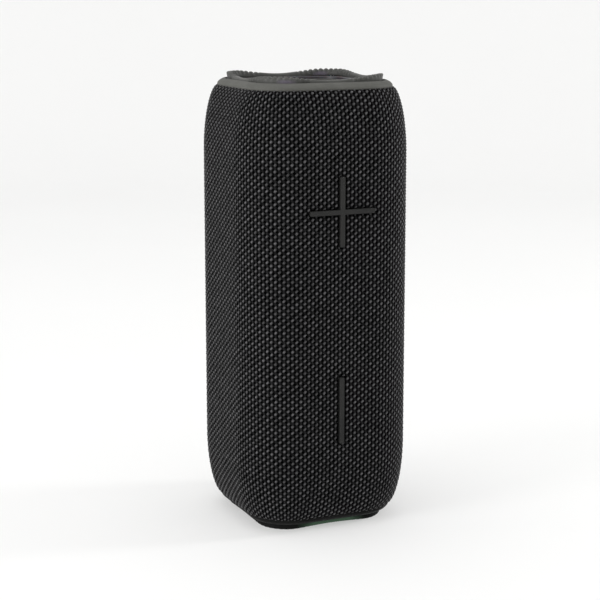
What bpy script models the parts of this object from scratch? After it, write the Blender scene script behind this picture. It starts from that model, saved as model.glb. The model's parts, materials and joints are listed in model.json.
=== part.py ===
"""Portable bluetooth speaker that stands on one end: a rounded-square column wrapped in woven fabric.

A ribbed plastic shell under the fabric carries two back-to-back drivers on an inner chassis, and each
end is closed by a rubber lip ring, a wavy rubber bumper, a light ring and a passive radiator. Two
raised keys, a plus and a minus, press through the fabric of the front, which faces -Y; small buttons
and a flap over the sockets are on the rear. The column stands on the crests of its bottom bumper at
z = 0, its axis is +Z, and all lengths are in metres.
"""

import math

import bmesh
import bpy
from mathutils import Vector

MM = 0.001

# Column
SIDE = 80 * MM  # across the fabric, at mid-height
CORE_HALF = 15 * MM  # half of each side's flat; corner arcs are centred on this core's corners
FABRIC_LENGTH = 188.1 * MM
END_ROUND_LENGTH = 29.8 * MM  # stretch at each end over which the sides curve in
END_ROUND_DEPTH = 7.8 * MM  # how far the full ellipse of that curve would come in
END_ROUND_SHARE = 0.98  # part of the ellipse's quarter that is used
FABRIC_THICKNESS = 1.2 * MM
SHELL_THICKNESS = 2.2 * MM
GAP = 0.3 * MM  # between neighbours that touch

# Ends, in heights above the fabric's end
CREST_HEIGHT = 4.9 * MM
TROUGH_HEIGHT = 3.0 * MM
LIP_HEIGHT = 2.2 * MM
SEAT_HEIGHT = 0.4 * MM  # floor of the groove that the bumper sits in
ARCH_HEIGHT = 2.5 * MM  # underside of the bumper at its crests
CREST_FLATTENING = 1.12  # the wave is cut off level a little below its full height
CREST_LAND = 1.4 * MM  # flat on top of the bumper
END_RING_DEPTH = 4.6 * MM
LIP_WIDTH = 3.4 * MM  # from the fabric's edge in to the bumper's groove
BUMPER_WIDTH = 3.1 * MM
LIGHT_RING_WIDTH = 1.95 * MM
LIGHT_RING_HEIGHT = 3.0 * MM
LED_BOARD_THICKNESS = 1.0 * MM
POCKET_DEPTH = 3.0 * MM
POCKET_WALL = 1.3 * MM

# Passive radiators
RADIATOR_FRAME_THICKNESS = 2.0 * MM
RADIATOR_LAND = 2.0 * MM  # width that the surround is glued on
SURROUND_THICKNESS = 0.8 * MM
SURROUND_ROLL_WIDTH = 5.0 * MM
SURROUND_ROLL_HEIGHT = 2.2 * MM
PLATE_CORNER = 5.0 * MM
PLATE_THICKNESS = 1.3 * MM
WEIGHT_HALF = 8.0 * MM
WEIGHT_THICKNESS = 2.0 * MM

# Drivers
DRIVER_RADIUS = 22.5 * MM
DRIVER_FLANGE_THICKNESS = 1.5 * MM
DRIVER_LAND = 2.7 * MM
DRIVER_SETBACK = 3.7 * MM  # of the basket's flange from the shell's inner face
BASKET_DEPTH = 12.6 * MM
BASKET_BACK_RADIUS = 12.0 * MM
BASKET_WALL = 1.2 * MM
MAGNET_RADIUS = 12.5 * MM
MAGNET_LENGTH = 10.0 * MM
COIL_RADIUS = 9.4 * MM
COIL_WALL = 0.6 * MM
COIL_CLEARANCE = 0.5 * MM
CONE_RIM_DROP = 0.2 * MM
CONE_THICKNESS = 0.6 * MM
DRIVER_ROLL_HEIGHT = 1.5 * MM
GASKET_THICKNESS = 0.7 * MM
GASKET_INSET = 0.8 * MM

# Front keys
KEY_SPAN = 30 * MM
MINUS_LENGTH = 29.3 * MM
KEY_BAR = 2.1 * MM
KEY_TRAVEL = 0.6 * MM
PLUS_ABOVE_MIDDLE = 42.3 * MM
MINUS_BELOW_MIDDLE = 44.1 * MM
PROUD = 0.6 * MM  # how far keys, buttons and the flap stand out of the fabric
FLANGE_GROWTH = 1.4 * MM
FLANGE_THICKNESS = 1.2 * MM
NUB_LENGTH = 1.2 * MM
SWITCH_HEIGHT = 0.7 * MM
SWITCH_RADIUS = 2.4 * MM
SWITCH_PLAY = 0.1 * MM
BOARD_THICKNESS = 1.0 * MM
KEY_BOARD_HALF = 8.0 * MM

# Rear buttons and sockets
STRIP_HALF_WIDTH = 8.0 * MM
BUTTON_COUNT = 4
BUTTON_PITCH = 8.0 * MM
BUTTON_HALF_WIDTH = 4.4 * MM
BUTTON_HALF_HEIGHT = 2.6 * MM
STRIP_MARGIN = 5.0 * MM
STRIP_ABOVE_MIDDLE = 47.0 * MM
STRIP_PROUD = 0.2 * MM
PANEL_WALL = 1.4 * MM
PANEL_FACE = 2.4 * MM
PORT_HALF_WIDTH = 12.5 * MM  # inside of the tray
PORT_HALF_HEIGHT = 11.4 * MM
PORT_BELOW_MIDDLE = 49.0 * MM
PORT_DEPTH = 9.0 * MM
PORT_CORNER = 3.0 * MM
TRAY_WALL = 1.1 * MM
TRAY_FLOOR = 1.2 * MM
FLAP_THICKNESS = 2.6 * MM
FLAP_LIP = 1.4 * MM

# Inner chassis, board and battery
POST_RADIUS = 2.8 * MM
DECK_CLEARANCE = 2.8 * MM  # of the decks from the shell
BAR_INSIDE_CORNER = 0.9 * MM  # clearance of the baffles from the shell's round corners
DECK_THICKNESS = 2.0 * MM
DECK_MARGIN = 5.5 * MM  # from a driver's rim to the middle of a deck
BAFFLE_THICKNESS = 2.0 * MM
CROSSBAR_HEIGHT = 6.0 * MM
MAIN_BOARD_SETBACK = 7.4 * MM  # of the board from the front of the tray's floor
MAIN_BOARD_HALF_WIDTH = 21.0 * MM
MAIN_BOARD_UP = 16.0 * MM  # above and below the middle of the sockets
MAIN_BOARD_DOWN = 31.0 * MM
MAIN_BOARD_THICKNESS = 1.6 * MM
CELL_RADIUS = 9.1 * MM
CELL_LENGTH = 65.0 * MM
CELL_SPACING = 1.2 * MM
BATTERY_ABOVE_MIDDLE = 52.0 * MM
BRACKET_WALL = 1.4 * MM
BRACKET_HALF_LENGTH = 28.0 * MM

# Screws
SCREW_HEAD_RADIUS = 1.45 * MM
SCREW_HEAD_HEIGHT = 1.2 * MM
SCREW_RADIUS = 0.9 * MM
SCREW_HOLE_RADIUS = 1.2 * MM
SCREW_BITE = 6.4 * MM

# Facets
CORNER_STEPS = 4
WAVE_SIDE_POINTS = 5
ROUND_STEPS = 16
SMALL_STEPS = 8
CURVE_LEVELS = 4

# Worked out from the above
HALF_SIDE = SIDE / 2
FABRIC_BOTTOM = CREST_HEIGHT
FABRIC_TOP = FABRIC_BOTTOM + FABRIC_LENGTH
MIDDLE = (FABRIC_BOTTOM + FABRIC_TOP) / 2
SHELL_OFFSET = FABRIC_THICKNESS + GAP
INNER_OFFSET = SHELL_OFFSET + SHELL_THICKNESS
SHELL_INSIDE = HALF_SIDE - INNER_OFFSET
END_HALF = HALF_SIDE - END_ROUND_DEPTH * (1 - math.sqrt(1 - END_ROUND_SHARE**2))
GROOVE_HALF = END_HALF - LIP_WIDTH
BUMPER_HALF = GROOVE_HALF - GAP
BUMPER_MIDDLE = BUMPER_HALF - BUMPER_WIDTH / 2
GROOVE_INNER = BUMPER_HALF - BUMPER_WIDTH - GAP * 2 / 3
LIGHT_HALF = GROOVE_INNER - GAP
POCKET_INNER = LIGHT_HALF - LIGHT_RING_WIDTH - GAP
BORE_HALF = POCKET_INNER - POCKET_WALL
SURROUND_HALF = BORE_HALF - GAP
ROLL_HALF = SURROUND_HALF - RADIATOR_LAND
ROLL_INNER = ROLL_HALF - SURROUND_ROLL_WIDTH
SURROUND_INNER = ROLL_INNER - RADIATOR_LAND
FRAME_HALF = GROOVE_HALF
FRAME_TOP = -END_RING_DEPTH - GAP
FRAME_BOTTOM = FRAME_TOP - RADIATOR_FRAME_THICKNESS
SCREW_OFFSET = CORE_HALF + (BUMPER_MIDDLE - CORE_HALF) * math.sqrt(0.5)
POST_END = FRAME_BOTTOM - GAP
PLUS_HEIGHT = MIDDLE + PLUS_ABOVE_MIDDLE
MINUS_HEIGHT = MIDDLE - MINUS_BELOW_MIDDLE
KEY_FRONT = HALF_SIDE + PROUD
FLANGE_FRONT = SHELL_INSIDE - GAP
FLANGE_BACK = FLANGE_FRONT - FLANGE_THICKNESS
NUB_END = FLANGE_BACK - NUB_LENGTH
SWITCH_TOP = NUB_END - KEY_TRAVEL - SWITCH_PLAY
KEY_BOARD_FRONT = SWITCH_TOP - SWITCH_HEIGHT
KEY_BOARD_BACK = KEY_BOARD_FRONT - BOARD_THICKNESS
DRIVER_FACE = SHELL_INSIDE - DRIVER_SETBACK
DECK_HALF = SHELL_INSIDE - DECK_CLEARANCE
DECK_SPACING = 2 * (DRIVER_RADIUS + DECK_MARGIN)
STRIP_MIDDLE = MIDDLE + STRIP_ABOVE_MIDDLE
PORT_MIDDLE = MIDDLE - PORT_BELOW_MIDDLE
BATTERY_MIDDLE = MIDDLE + BATTERY_ABOVE_MIDDLE
STRIP_HALF_HEIGHT = (BUTTON_COUNT - 1) * BUTTON_PITCH / 2 + STRIP_MARGIN
STRIP_FRONT = HALF_SIDE + STRIP_PROUD
STRIP_BACK = FLANGE_FRONT - FLANGE_THICKNESS / 2
BUTTON_FLANGE_FRONT = STRIP_FRONT - PANEL_FACE - GAP
BUTTON_NUB_END = BUTTON_FLANGE_FRONT - FLANGE_THICKNESS - NUB_LENGTH
BUTTON_SWITCH_TOP = BUTTON_NUB_END - KEY_TRAVEL - SWITCH_PLAY
BUTTON_BOARD_FRONT = BUTTON_SWITCH_TOP - SWITCH_HEIGHT
BUTTON_BOARD_BACK = BUTTON_BOARD_FRONT - BOARD_THICKNESS
TRAY_FRONT = HALF_SIDE - PROUD
TRAY_FLOOR_FRONT = KEY_FRONT - PORT_DEPTH
TRAY_BACK = TRAY_FLOOR_FRONT - TRAY_FLOOR
MAIN_BOARD_FACE = TRAY_FLOOR_FRONT - MAIN_BOARD_SETBACK
MAIN_BOARD_BOTTOM = PORT_MIDDLE - MAIN_BOARD_DOWN
MAIN_BOARD_TOP = PORT_MIDDLE + MAIN_BOARD_UP
CELL_PITCH = 2 * CELL_RADIUS + CELL_SPACING

MATERIALS = {
    "fabric": ((0.012, 0.012, 0.013), 0.75, 0.0),
    "shell_plastic": ((0.02, 0.02, 0.022), 0.5, 0.0),
    "lip_rubber": ((0.10, 0.10, 0.095), 0.6, 0.0),
    "bumper_rubber": ((0.06, 0.06, 0.058), 0.65, 0.0),
    "key_rubber": ((0.03, 0.03, 0.03), 0.6, 0.0),
    "light_diffuser": ((0.75, 0.74, 0.78), 0.35, 0.0),
    "board_green": ((0.02, 0.12, 0.05), 0.45, 0.0),
    "radiator_rubber": ((0.015, 0.015, 0.016), 0.7, 0.0),
    "radiator_metal": ((0.35, 0.35, 0.36), 0.4, 1.0),
    "frame_plastic": ((0.03, 0.03, 0.032), 0.45, 0.0),
    "steel": ((0.45, 0.45, 0.46), 0.35, 1.0),
    "magnet": ((0.10, 0.10, 0.11), 0.5, 1.0),
    "cone_paper": ((0.03, 0.03, 0.032), 0.85, 0.0),
    "spider_cloth": ((0.45, 0.28, 0.08), 0.9, 0.0),
    "gasket_foam": ((0.02, 0.02, 0.02), 0.95, 0.0),
    "cell_wrap": ((0.05, 0.22, 0.45), 0.4, 0.0),
}


def material(name):
    """The named Principled material, made the first time it is asked for."""
    found = bpy.data.materials.get(name)
    if found:
        return found
    colour, roughness, metallic = MATERIALS[name]
    made = bpy.data.materials.new(name)
    made.use_nodes = True
    shader = made.node_tree.nodes["Principled BSDF"]
    shader.inputs["Base Color"].default_value = (*colour, 1)
    shader.inputs["Roughness"].default_value = roughness
    shader.inputs["Metallic"].default_value = metallic
    made.diffuse_color = (*colour, 1)
    return made


# Outlines: lists of 2-D points, anticlockwise


def rounded_rectangle(half_x, half_y, radius, steps=CORNER_STEPS, side_points=0):
    """A rectangle with round corners, starting at the right of its +x +y corner."""
    points = []
    for quarter in range(4):
        start = quarter * math.pi / 2
        centre_x = (half_x - radius) * (1 if quarter in (0, 3) else -1)
        centre_y = (half_y - radius) * (1 if quarter in (0, 1) else -1)
        for step in range(steps + 1):
            angle = start + step * math.pi / 2 / steps
            points.append((centre_x + radius * math.cos(angle), centre_y + radius * math.sin(angle)))
    if not side_points:
        return points
    full = []
    for index, point in enumerate(points):
        full.append(point)
        if index % (steps + 1) != steps:
            continue
        following = points[(index + 1) % len(points)]
        for step in range(1, side_points + 1):
            share = step / (side_points + 1)
            full.append(tuple(a + (b - a) * share for a, b in zip(point, following)))
    return full


def column_outline(half, radius=None, side_points=0):
    """The column's rounded square, an offset of the core square unless a corner radius is given."""
    corner = half - CORE_HALF if radius is None else radius
    return rounded_rectangle(half, half, corner, side_points=side_points)


def circle(radius, steps=ROUND_STEPS):
    """A regular polygon inside a circle of the radius."""
    angles = [2 * math.pi * step / steps for step in range(steps)]
    return [(radius * math.cos(angle), radius * math.sin(angle)) for angle in angles]


def plus_outline(arm, half_bar):
    """A plus sign: each arm ends in a rounded tip."""
    tip = half_bar * 0.6
    arm_points = [
        (half_bar, half_bar),
        (arm - tip, half_bar),
        (arm, half_bar - tip),
        (arm, -half_bar + tip),
        (arm - tip, -half_bar),
    ]
    turned = []
    for quarter in range(4):
        cosine = (1, 0, -1, 0)[quarter]
        sine = (0, 1, 0, -1)[quarter]
        for x, y in reversed(arm_points):
            turned.append((x * cosine - y * sine, x * sine + y * cosine))
    return turned


def minus_outline(half_length, half_bar):
    """An upright bar with rounded tips."""
    return rounded_rectangle(half_bar, half_length, half_bar * 0.6, steps=2)


# Solids


def add_object(name, mesh_data, finish, parent=None, location=(0, 0, 0), rotation=(0, 0, 0)):
    """An object of the mesh, placed in its parent's space."""
    obj = bpy.data.objects.new(name, mesh_data)
    bpy.context.scene.collection.objects.link(obj)
    if finish and not mesh_data.materials:
        mesh_data.materials.append(material(finish))
    obj.parent = parent
    obj.location = location
    obj.rotation_euler = rotation
    return obj


def add_empty(name, location=(0, 0, 0), rotation=(0, 0, 0)):
    """An empty that pieces are placed from."""
    return add_object(name, None, None, None, location, rotation)


def lofted_mesh(name, rings, closed):
    """A solid through rings of equally many 3-D points: a ring of its own if closed, else capped."""
    mesh = bmesh.new()
    rows = [[mesh.verts.new(point) for point in ring] for ring in rings]
    pairs = list(zip(rows, rows[1:]))
    if closed:
        pairs.append((rows[-1], rows[0]))
    else:
        mesh.faces.new(rows[0])
        mesh.faces.new(rows[-1])
    count = len(rings[0])
    for first, second in pairs:
        for i in range(count):
            j = (i + 1) % count
            mesh.faces.new((first[i], first[j], second[j], second[i]))
    bmesh.ops.recalc_face_normals(mesh, faces=mesh.faces)
    data = bpy.data.meshes.new(name)
    mesh.to_mesh(data)
    mesh.free()
    data.shade_smooth()
    data.set_sharp_from_angle(angle=math.radians(35))
    return data


def level(outline, height):
    """The outline laid at a height along +Z."""
    return [Vector((x, y, height)) for x, y in outline]


def stacked(name, levels, finish, closed=False, **place):
    """A solid through outlines at heights: levels holds (outline, height) pairs."""
    data = lofted_mesh(name, [level(outline, height) for outline, height in levels], closed)
    return add_object(name, data, finish, **place)


def turned(name, profile, finish, closed=True, steps=ROUND_STEPS, **place):
    """A turned solid: profile holds (radius, height) pairs."""
    return stacked(name, [(circle(r, steps), z) for r, z in profile], finish, closed, **place)


def box_mesh(name, low, high):
    """A plain box between two corners."""
    mesh = bmesh.new()
    bmesh.ops.create_cube(mesh, size=1)
    middle = (Vector(low) + Vector(high)) / 2
    extent = Vector(high) - Vector(low)
    for vertex in mesh.verts:
        vertex.co = Vector(c * e for c, e in zip(vertex.co, extent)) + middle
    data = bpy.data.meshes.new(name)
    mesh.to_mesh(data)
    mesh.free()
    return data


def helper(obj):
    """Marks an object that only shapes another."""
    obj.hide_render = True
    obj.display_type = "WIRE"
    return obj


def boolean(target, tool, operation="DIFFERENCE"):
    """Adds an exact Boolean of the tool, which becomes a helper."""
    modifier = target.modifiers.new(tool.name, "BOOLEAN")
    modifier.operation = operation
    modifier.object = helper(tool)
    modifier.solver = "EXACT"


# Column


def side_section(share, offset):
    """Half-width and height on the column's side, offset inwards along its normal.

    share runs from -1 at the bottom of the fabric to 1 at its top; between the end curves the side
    is straight.
    """
    straight = FABRIC_LENGTH / 2 - END_ROUND_LENGTH
    height = share * FABRIC_LENGTH / 2
    into_curve = max(0.0, abs(height) - straight) / END_ROUND_LENGTH * END_ROUND_SHARE
    drop = math.sqrt(1 - into_curve**2)
    half = HALF_SIDE - END_ROUND_DEPTH * (1 - drop)
    slope = END_ROUND_DEPTH * END_ROUND_SHARE / END_ROUND_LENGTH * into_curve / drop
    normal = Vector((1, slope)).normalized()
    sign = math.copysign(1, height)
    return half - offset * normal[0], MIDDLE + height - sign * offset * normal[1]


def side_shares():
    """Shares of the height at which the column has a ring, closer together towards its ends."""
    straight = 1 - 2 * END_ROUND_LENGTH / FABRIC_LENGTH
    angles = [step * math.pi / 2 / CURVE_LEVELS for step in range(CURVE_LEVELS + 1)]
    upper = [straight + (1 - straight) * math.sin(angle) for angle in angles]
    return [-share for share in reversed(upper)] + upper


def column_skin(name, outer_offset, inner_offset, finish):
    """An open-ended tube of the column's shape between two offsets from the fabric's outside."""
    shares = side_shares()
    outer = [side_section(share, outer_offset) for share in shares]
    inner = [side_section(share, inner_offset) for share in reversed(shares)]
    levels = [(column_outline(half), height) for half, height in outer + inner]
    return stacked(name, levels, finish, closed=True)


def facing(direction):
    """Rotation that turns +Z outwards through the front (-1) or the rear (1), keeping x or -x."""
    return (-direction * math.pi / 2, 0, 0)


def cut_wall(pieces, name, outline, direction, height, deep=0.0):
    """Cuts the outline through the front or rear wall of each piece, at a height."""
    levels = [(outline, FLANGE_BACK - deep), (outline, KEY_FRONT + GAP)]
    for piece in pieces:
        place = {"location": (0, 0, height), "rotation": facing(direction)}
        cutter = stacked(f"cut_{name}_{piece.name}", levels, None, **place)
        boolean(piece, cutter)


def build_sleeve_and_shell():
    """Fabric sleeve over the ribbed shell, with openings for the keys, the buttons and the sockets."""
    sleeve = column_skin("fabric_sleeve", 0, FABRIC_THICKNESS, "fabric")
    shell = column_skin("grille_shell", SHELL_OFFSET, INNER_OFFSET, "shell_plastic")
    both = (sleeve, shell)
    cut_wall(both, "plus", plus_outline(KEY_SPAN / 2 + GAP, KEY_BAR / 2 + GAP), -1, PLUS_HEIGHT)
    cut_wall(both, "minus", minus_outline(MINUS_LENGTH / 2 + GAP, KEY_BAR / 2 + GAP), -1, MINUS_HEIGHT)
    strip = rounded_rectangle(STRIP_HALF_WIDTH + GAP, STRIP_HALF_HEIGHT + GAP, PORT_CORNER, 3)
    cut_wall(both, "strip", strip, 1, STRIP_MIDDLE)
    tray = TRAY_WALL + GAP
    port = rounded_rectangle(PORT_HALF_WIDTH + tray, PORT_HALF_HEIGHT + tray, PORT_CORNER, 3)
    cut_wall(both, "port", port, 1, PORT_MIDDLE)
    slot_pitch = 5 * MM
    slot_half_height = 1.2 * MM
    reach = DRIVER_RADIUS - DRIVER_LAND - GAP
    for direction, side in ((-1, "front"), (1, "rear")):
        for row in range(-3, 4):
            offset = row * slot_pitch
            half_length = min(math.sqrt(reach**2 - offset**2), CORE_HALF + 2 * MM)
            slot = rounded_rectangle(half_length, slot_half_height, slot_half_height * 0.9, 1)
            cut_wall((shell,), f"slot_{side}_{row + 3}", slot, direction, MIDDLE + offset)


# Ends, each built about an empty at the fabric's end with +Z outwards


def wave(share, low, high):
    """Height of the bumper's wave: share runs from 0 at a corner's middle to 1 at the next corner's."""
    lift = min(1.0, (0.5 + 0.5 * math.cos(2 * math.pi * share)) * CREST_FLATTENING)
    return low + (high - low) * lift


def wave_shares(half):
    """For each point of the bumper's outline, its place between one corner's middle and the next."""
    outline = column_outline(half, side_points=WAVE_SIDE_POINTS)
    lengths = [(Vector(a) - Vector(b)).length for a, b in zip(outline, outline[1:] + outline[:1])]
    quarter = sum(lengths) / 4
    to_corner = sum(lengths[:CORNER_STEPS]) / 2
    travelled = 0.0
    shares = []
    for length in lengths:
        shares.append(((travelled - to_corner) / quarter) % 1.0)
        travelled += length
    return shares


def bumper_mesh():
    """A rubber ring whose rim rises to a crest over each corner, where its underside arches too."""
    outer = BUMPER_HALF
    inner = BUMPER_HALF - BUMPER_WIDTH
    land_out = BUMPER_MIDDLE + CREST_LAND / 2
    land_in = BUMPER_MIDDLE - CREST_LAND / 2
    shoulder = 0.9 * MM
    section = [
        (outer, "under", 0),
        (outer, "rim", -shoulder),
        (land_out, "rim", 0),
        (land_in, "rim", 0),
        (inner, "rim", -shoulder),
        (inner, "under", 0),
    ]
    limits = {"rim": (TROUGH_HEIGHT, CREST_HEIGHT), "under": (SEAT_HEIGHT + GAP, ARCH_HEIGHT)}
    shares = wave_shares(BUMPER_MIDDLE)
    rings = []
    for half, edge, drop in section:
        low, high = limits[edge]
        outline = column_outline(half, side_points=WAVE_SIDE_POINTS)
        rings.append(
            [Vector((x, y, wave(share, low, high) + drop)) for (x, y), share in zip(outline, shares)]
        )
    return lofted_mesh("wave_bumper", rings, closed=True)


def end_ring_levels():
    """Section of the lip ring: lip, groove, light pocket, bore and a seat on the shell's end."""
    half, height = side_section(1, 0)
    inner_half, inner_height = side_section(1, INNER_OFFSET)
    half_below, height_below = side_section(0.999, 0)
    along = Vector((half - half_below, height - height_below)).normalized() * GAP
    top = FABRIC_TOP
    lip_start = (half + along[0], height + along[1] - top)
    seat_end = (inner_half + along[0], inner_height + along[1] - top)
    lip_width = lip_start[0] - GROOVE_HALF
    return [
        lip_start,
        (GROOVE_HALF + lip_width * 0.82, lip_start[1] + (LIP_HEIGHT - lip_start[1]) * 0.42),
        (GROOVE_HALF + lip_width * 0.5, lip_start[1] + (LIP_HEIGHT - lip_start[1]) * 0.78),
        (GROOVE_HALF + lip_width * 0.15, LIP_HEIGHT),
        (GROOVE_HALF, LIP_HEIGHT - GAP),
        (GROOVE_HALF, SEAT_HEIGHT),
        (GROOVE_INNER, SEAT_HEIGHT),
        (GROOVE_INNER, -POCKET_DEPTH),
        (POCKET_INNER, -POCKET_DEPTH),
        (POCKET_INNER, SEAT_HEIGHT),
        (BORE_HALF, SEAT_HEIGHT),
        (BORE_HALF, -END_RING_DEPTH),
        (seat_end[0] - GAP, -END_RING_DEPTH),
        seat_end,
    ]


def ring_levels(outer, inner, low, high):
    """Levels of a plain rounded-square ring."""
    return [
        (column_outline(outer), low),
        (column_outline(outer), high),
        (column_outline(inner), high),
        (column_outline(inner), low),
    ]


def roll_profile(outer, width, rise, low, thickness):
    """Half-round roll with a flat land on each side: (distance, height) pairs round a closed section.

    The lands are as wide as the roll is set in from outer and from the inner edge.
    """
    return [
        (outer, low),
        (outer, low + thickness),
        (outer - RADIATOR_LAND, low + thickness),
        (outer - RADIATOR_LAND - width * 0.2, low + thickness + rise * 0.72),
        (outer - RADIATOR_LAND - width * 0.5, low + thickness + rise),
        (outer - RADIATOR_LAND - width * 0.8, low + thickness + rise * 0.72),
        (outer - RADIATOR_LAND - width, low + thickness),
        (outer - 2 * RADIATOR_LAND - width, low + thickness),
        (outer - 2 * RADIATOR_LAND - width, low),
        (outer - RADIATOR_LAND - width * 0.95, low),
        (outer - RADIATOR_LAND - width * 0.7, low + rise * 0.72),
        (outer - RADIATOR_LAND - width * 0.5, low + rise),
        (outer - RADIATOR_LAND - width * 0.3, low + rise * 0.72),
        (outer - RADIATOR_LAND - width * 0.05, low),
    ]


def radiator_corner(half):
    """Corner radius of a radiator piece, from the bore's down to the plate's."""
    bore_corner = BORE_HALF - CORE_HALF
    share = (half - ROLL_INNER) / (BORE_HALF - ROLL_INNER)
    return PLATE_CORNER + (bore_corner - PLATE_CORNER) * share


def radiator_outline(half):
    """Outline of a radiator piece."""
    return column_outline(half, radiator_corner(half))


def screw_places():
    """The four corners that the end screws stand in."""
    return [(x * SCREW_OFFSET, y * SCREW_OFFSET) for x in (1, -1) for y in (1, -1)]


def bore_screw_holes(piece, end, low, high):
    """Cuts the four screw holes through a piece of an end."""
    for number, (x, y) in enumerate(screw_places(), 1):
        profile = [(SCREW_HOLE_RADIUS, low), (SCREW_HOLE_RADIUS, high)]
        name = f"hole_{piece.name}_{end.name}_{number}"
        hole = turned(name, profile, None, False, SMALL_STEPS, parent=end, location=(x, y, 0))
        boolean(piece, hole)


def build_end(name, location, rotation):
    """Lip ring, bumper, light ring with its board, radiator and screws of one end."""
    end = add_empty(f"end_{name}", location, rotation)
    levels = [(column_outline(half), height) for half, height in end_ring_levels()]
    lip_ring = stacked(f"end_ring_{name}", levels, "lip_rubber", True, parent=end)
    bore_screw_holes(lip_ring, end, -END_RING_DEPTH - MM, SEAT_HEIGHT + MM)
    add_object(f"wave_bumper_{name}", bumper_mesh(), "bumper_rubber", end)
    board_low = -POCKET_DEPTH + GAP
    board_high = board_low + LED_BOARD_THICKNESS
    light_inner = LIGHT_HALF - LIGHT_RING_WIDTH
    board = ring_levels(LIGHT_HALF, light_inner, board_low, board_high)
    stacked(f"led_board_{name}", board, "board_green", True, parent=end)
    light_low = board_high + GAP
    light_high = light_low + LIGHT_RING_HEIGHT
    light = ring_levels(LIGHT_HALF, light_inner, light_low, light_high)
    stacked(f"light_ring_{name}", light, "light_diffuser", True, parent=end)
    frame = [
        (column_outline(FRAME_HALF), FRAME_BOTTOM),
        (column_outline(FRAME_HALF), FRAME_TOP),
        (radiator_outline(ROLL_HALF), FRAME_TOP),
        (radiator_outline(ROLL_HALF), FRAME_BOTTOM),
    ]
    radiator_frame = stacked(f"radiator_frame_{name}", frame, "frame_plastic", True, parent=end)
    bore_screw_holes(radiator_frame, end, FRAME_BOTTOM - MM, FRAME_TOP + MM)
    build_radiator(name, end)
    for number, (x, y) in enumerate(screw_places(), 1):
        head = SEAT_HEIGHT + GAP
        profile = [
            (SCREW_HEAD_RADIUS * 0.8, head + SCREW_HEAD_HEIGHT),
            (SCREW_HEAD_RADIUS, head + SCREW_HEAD_HEIGHT * 0.6),
            (SCREW_HEAD_RADIUS, head),
            (SCREW_RADIUS, head),
            (SCREW_RADIUS, POST_END - SCREW_BITE),
        ]
        place = {"parent": end, "location": (x, y, 0)}
        turned(f"end_screw_{name}_{number}", profile, "steel", False, SMALL_STEPS, **place)
    return end


def build_radiator(name, end):
    """Rubber surround and the weighted plate that moves in it."""
    low = FRAME_TOP + GAP
    roll = roll_profile(SURROUND_HALF, SURROUND_ROLL_WIDTH, SURROUND_ROLL_HEIGHT, low, SURROUND_THICKNESS)
    levels = [(radiator_outline(half), height) for half, height in roll]
    stacked(f"radiator_surround_{name}", levels, "radiator_rubber", True, parent=end)
    plate_half = ROLL_INNER - GAP
    boss_half = SURROUND_INNER - GAP
    plate_top = low - GAP
    plate = [
        (radiator_outline(boss_half), low + SURROUND_THICKNESS + GAP),
        (radiator_outline(boss_half), plate_top),
        (radiator_outline(plate_half), plate_top),
        (radiator_outline(plate_half), plate_top - PLATE_THICKNESS),
        (column_outline(WEIGHT_HALF, WEIGHT_HALF / 2), plate_top - PLATE_THICKNESS),
        (column_outline(WEIGHT_HALF, WEIGHT_HALF / 2), plate_top - PLATE_THICKNESS - WEIGHT_THICKNESS),
    ]
    stacked(f"radiator_plate_{name}", plate, "radiator_metal", parent=end)


# Drivers, each built about an empty on the column's axis with +Z outwards through its wall


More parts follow.
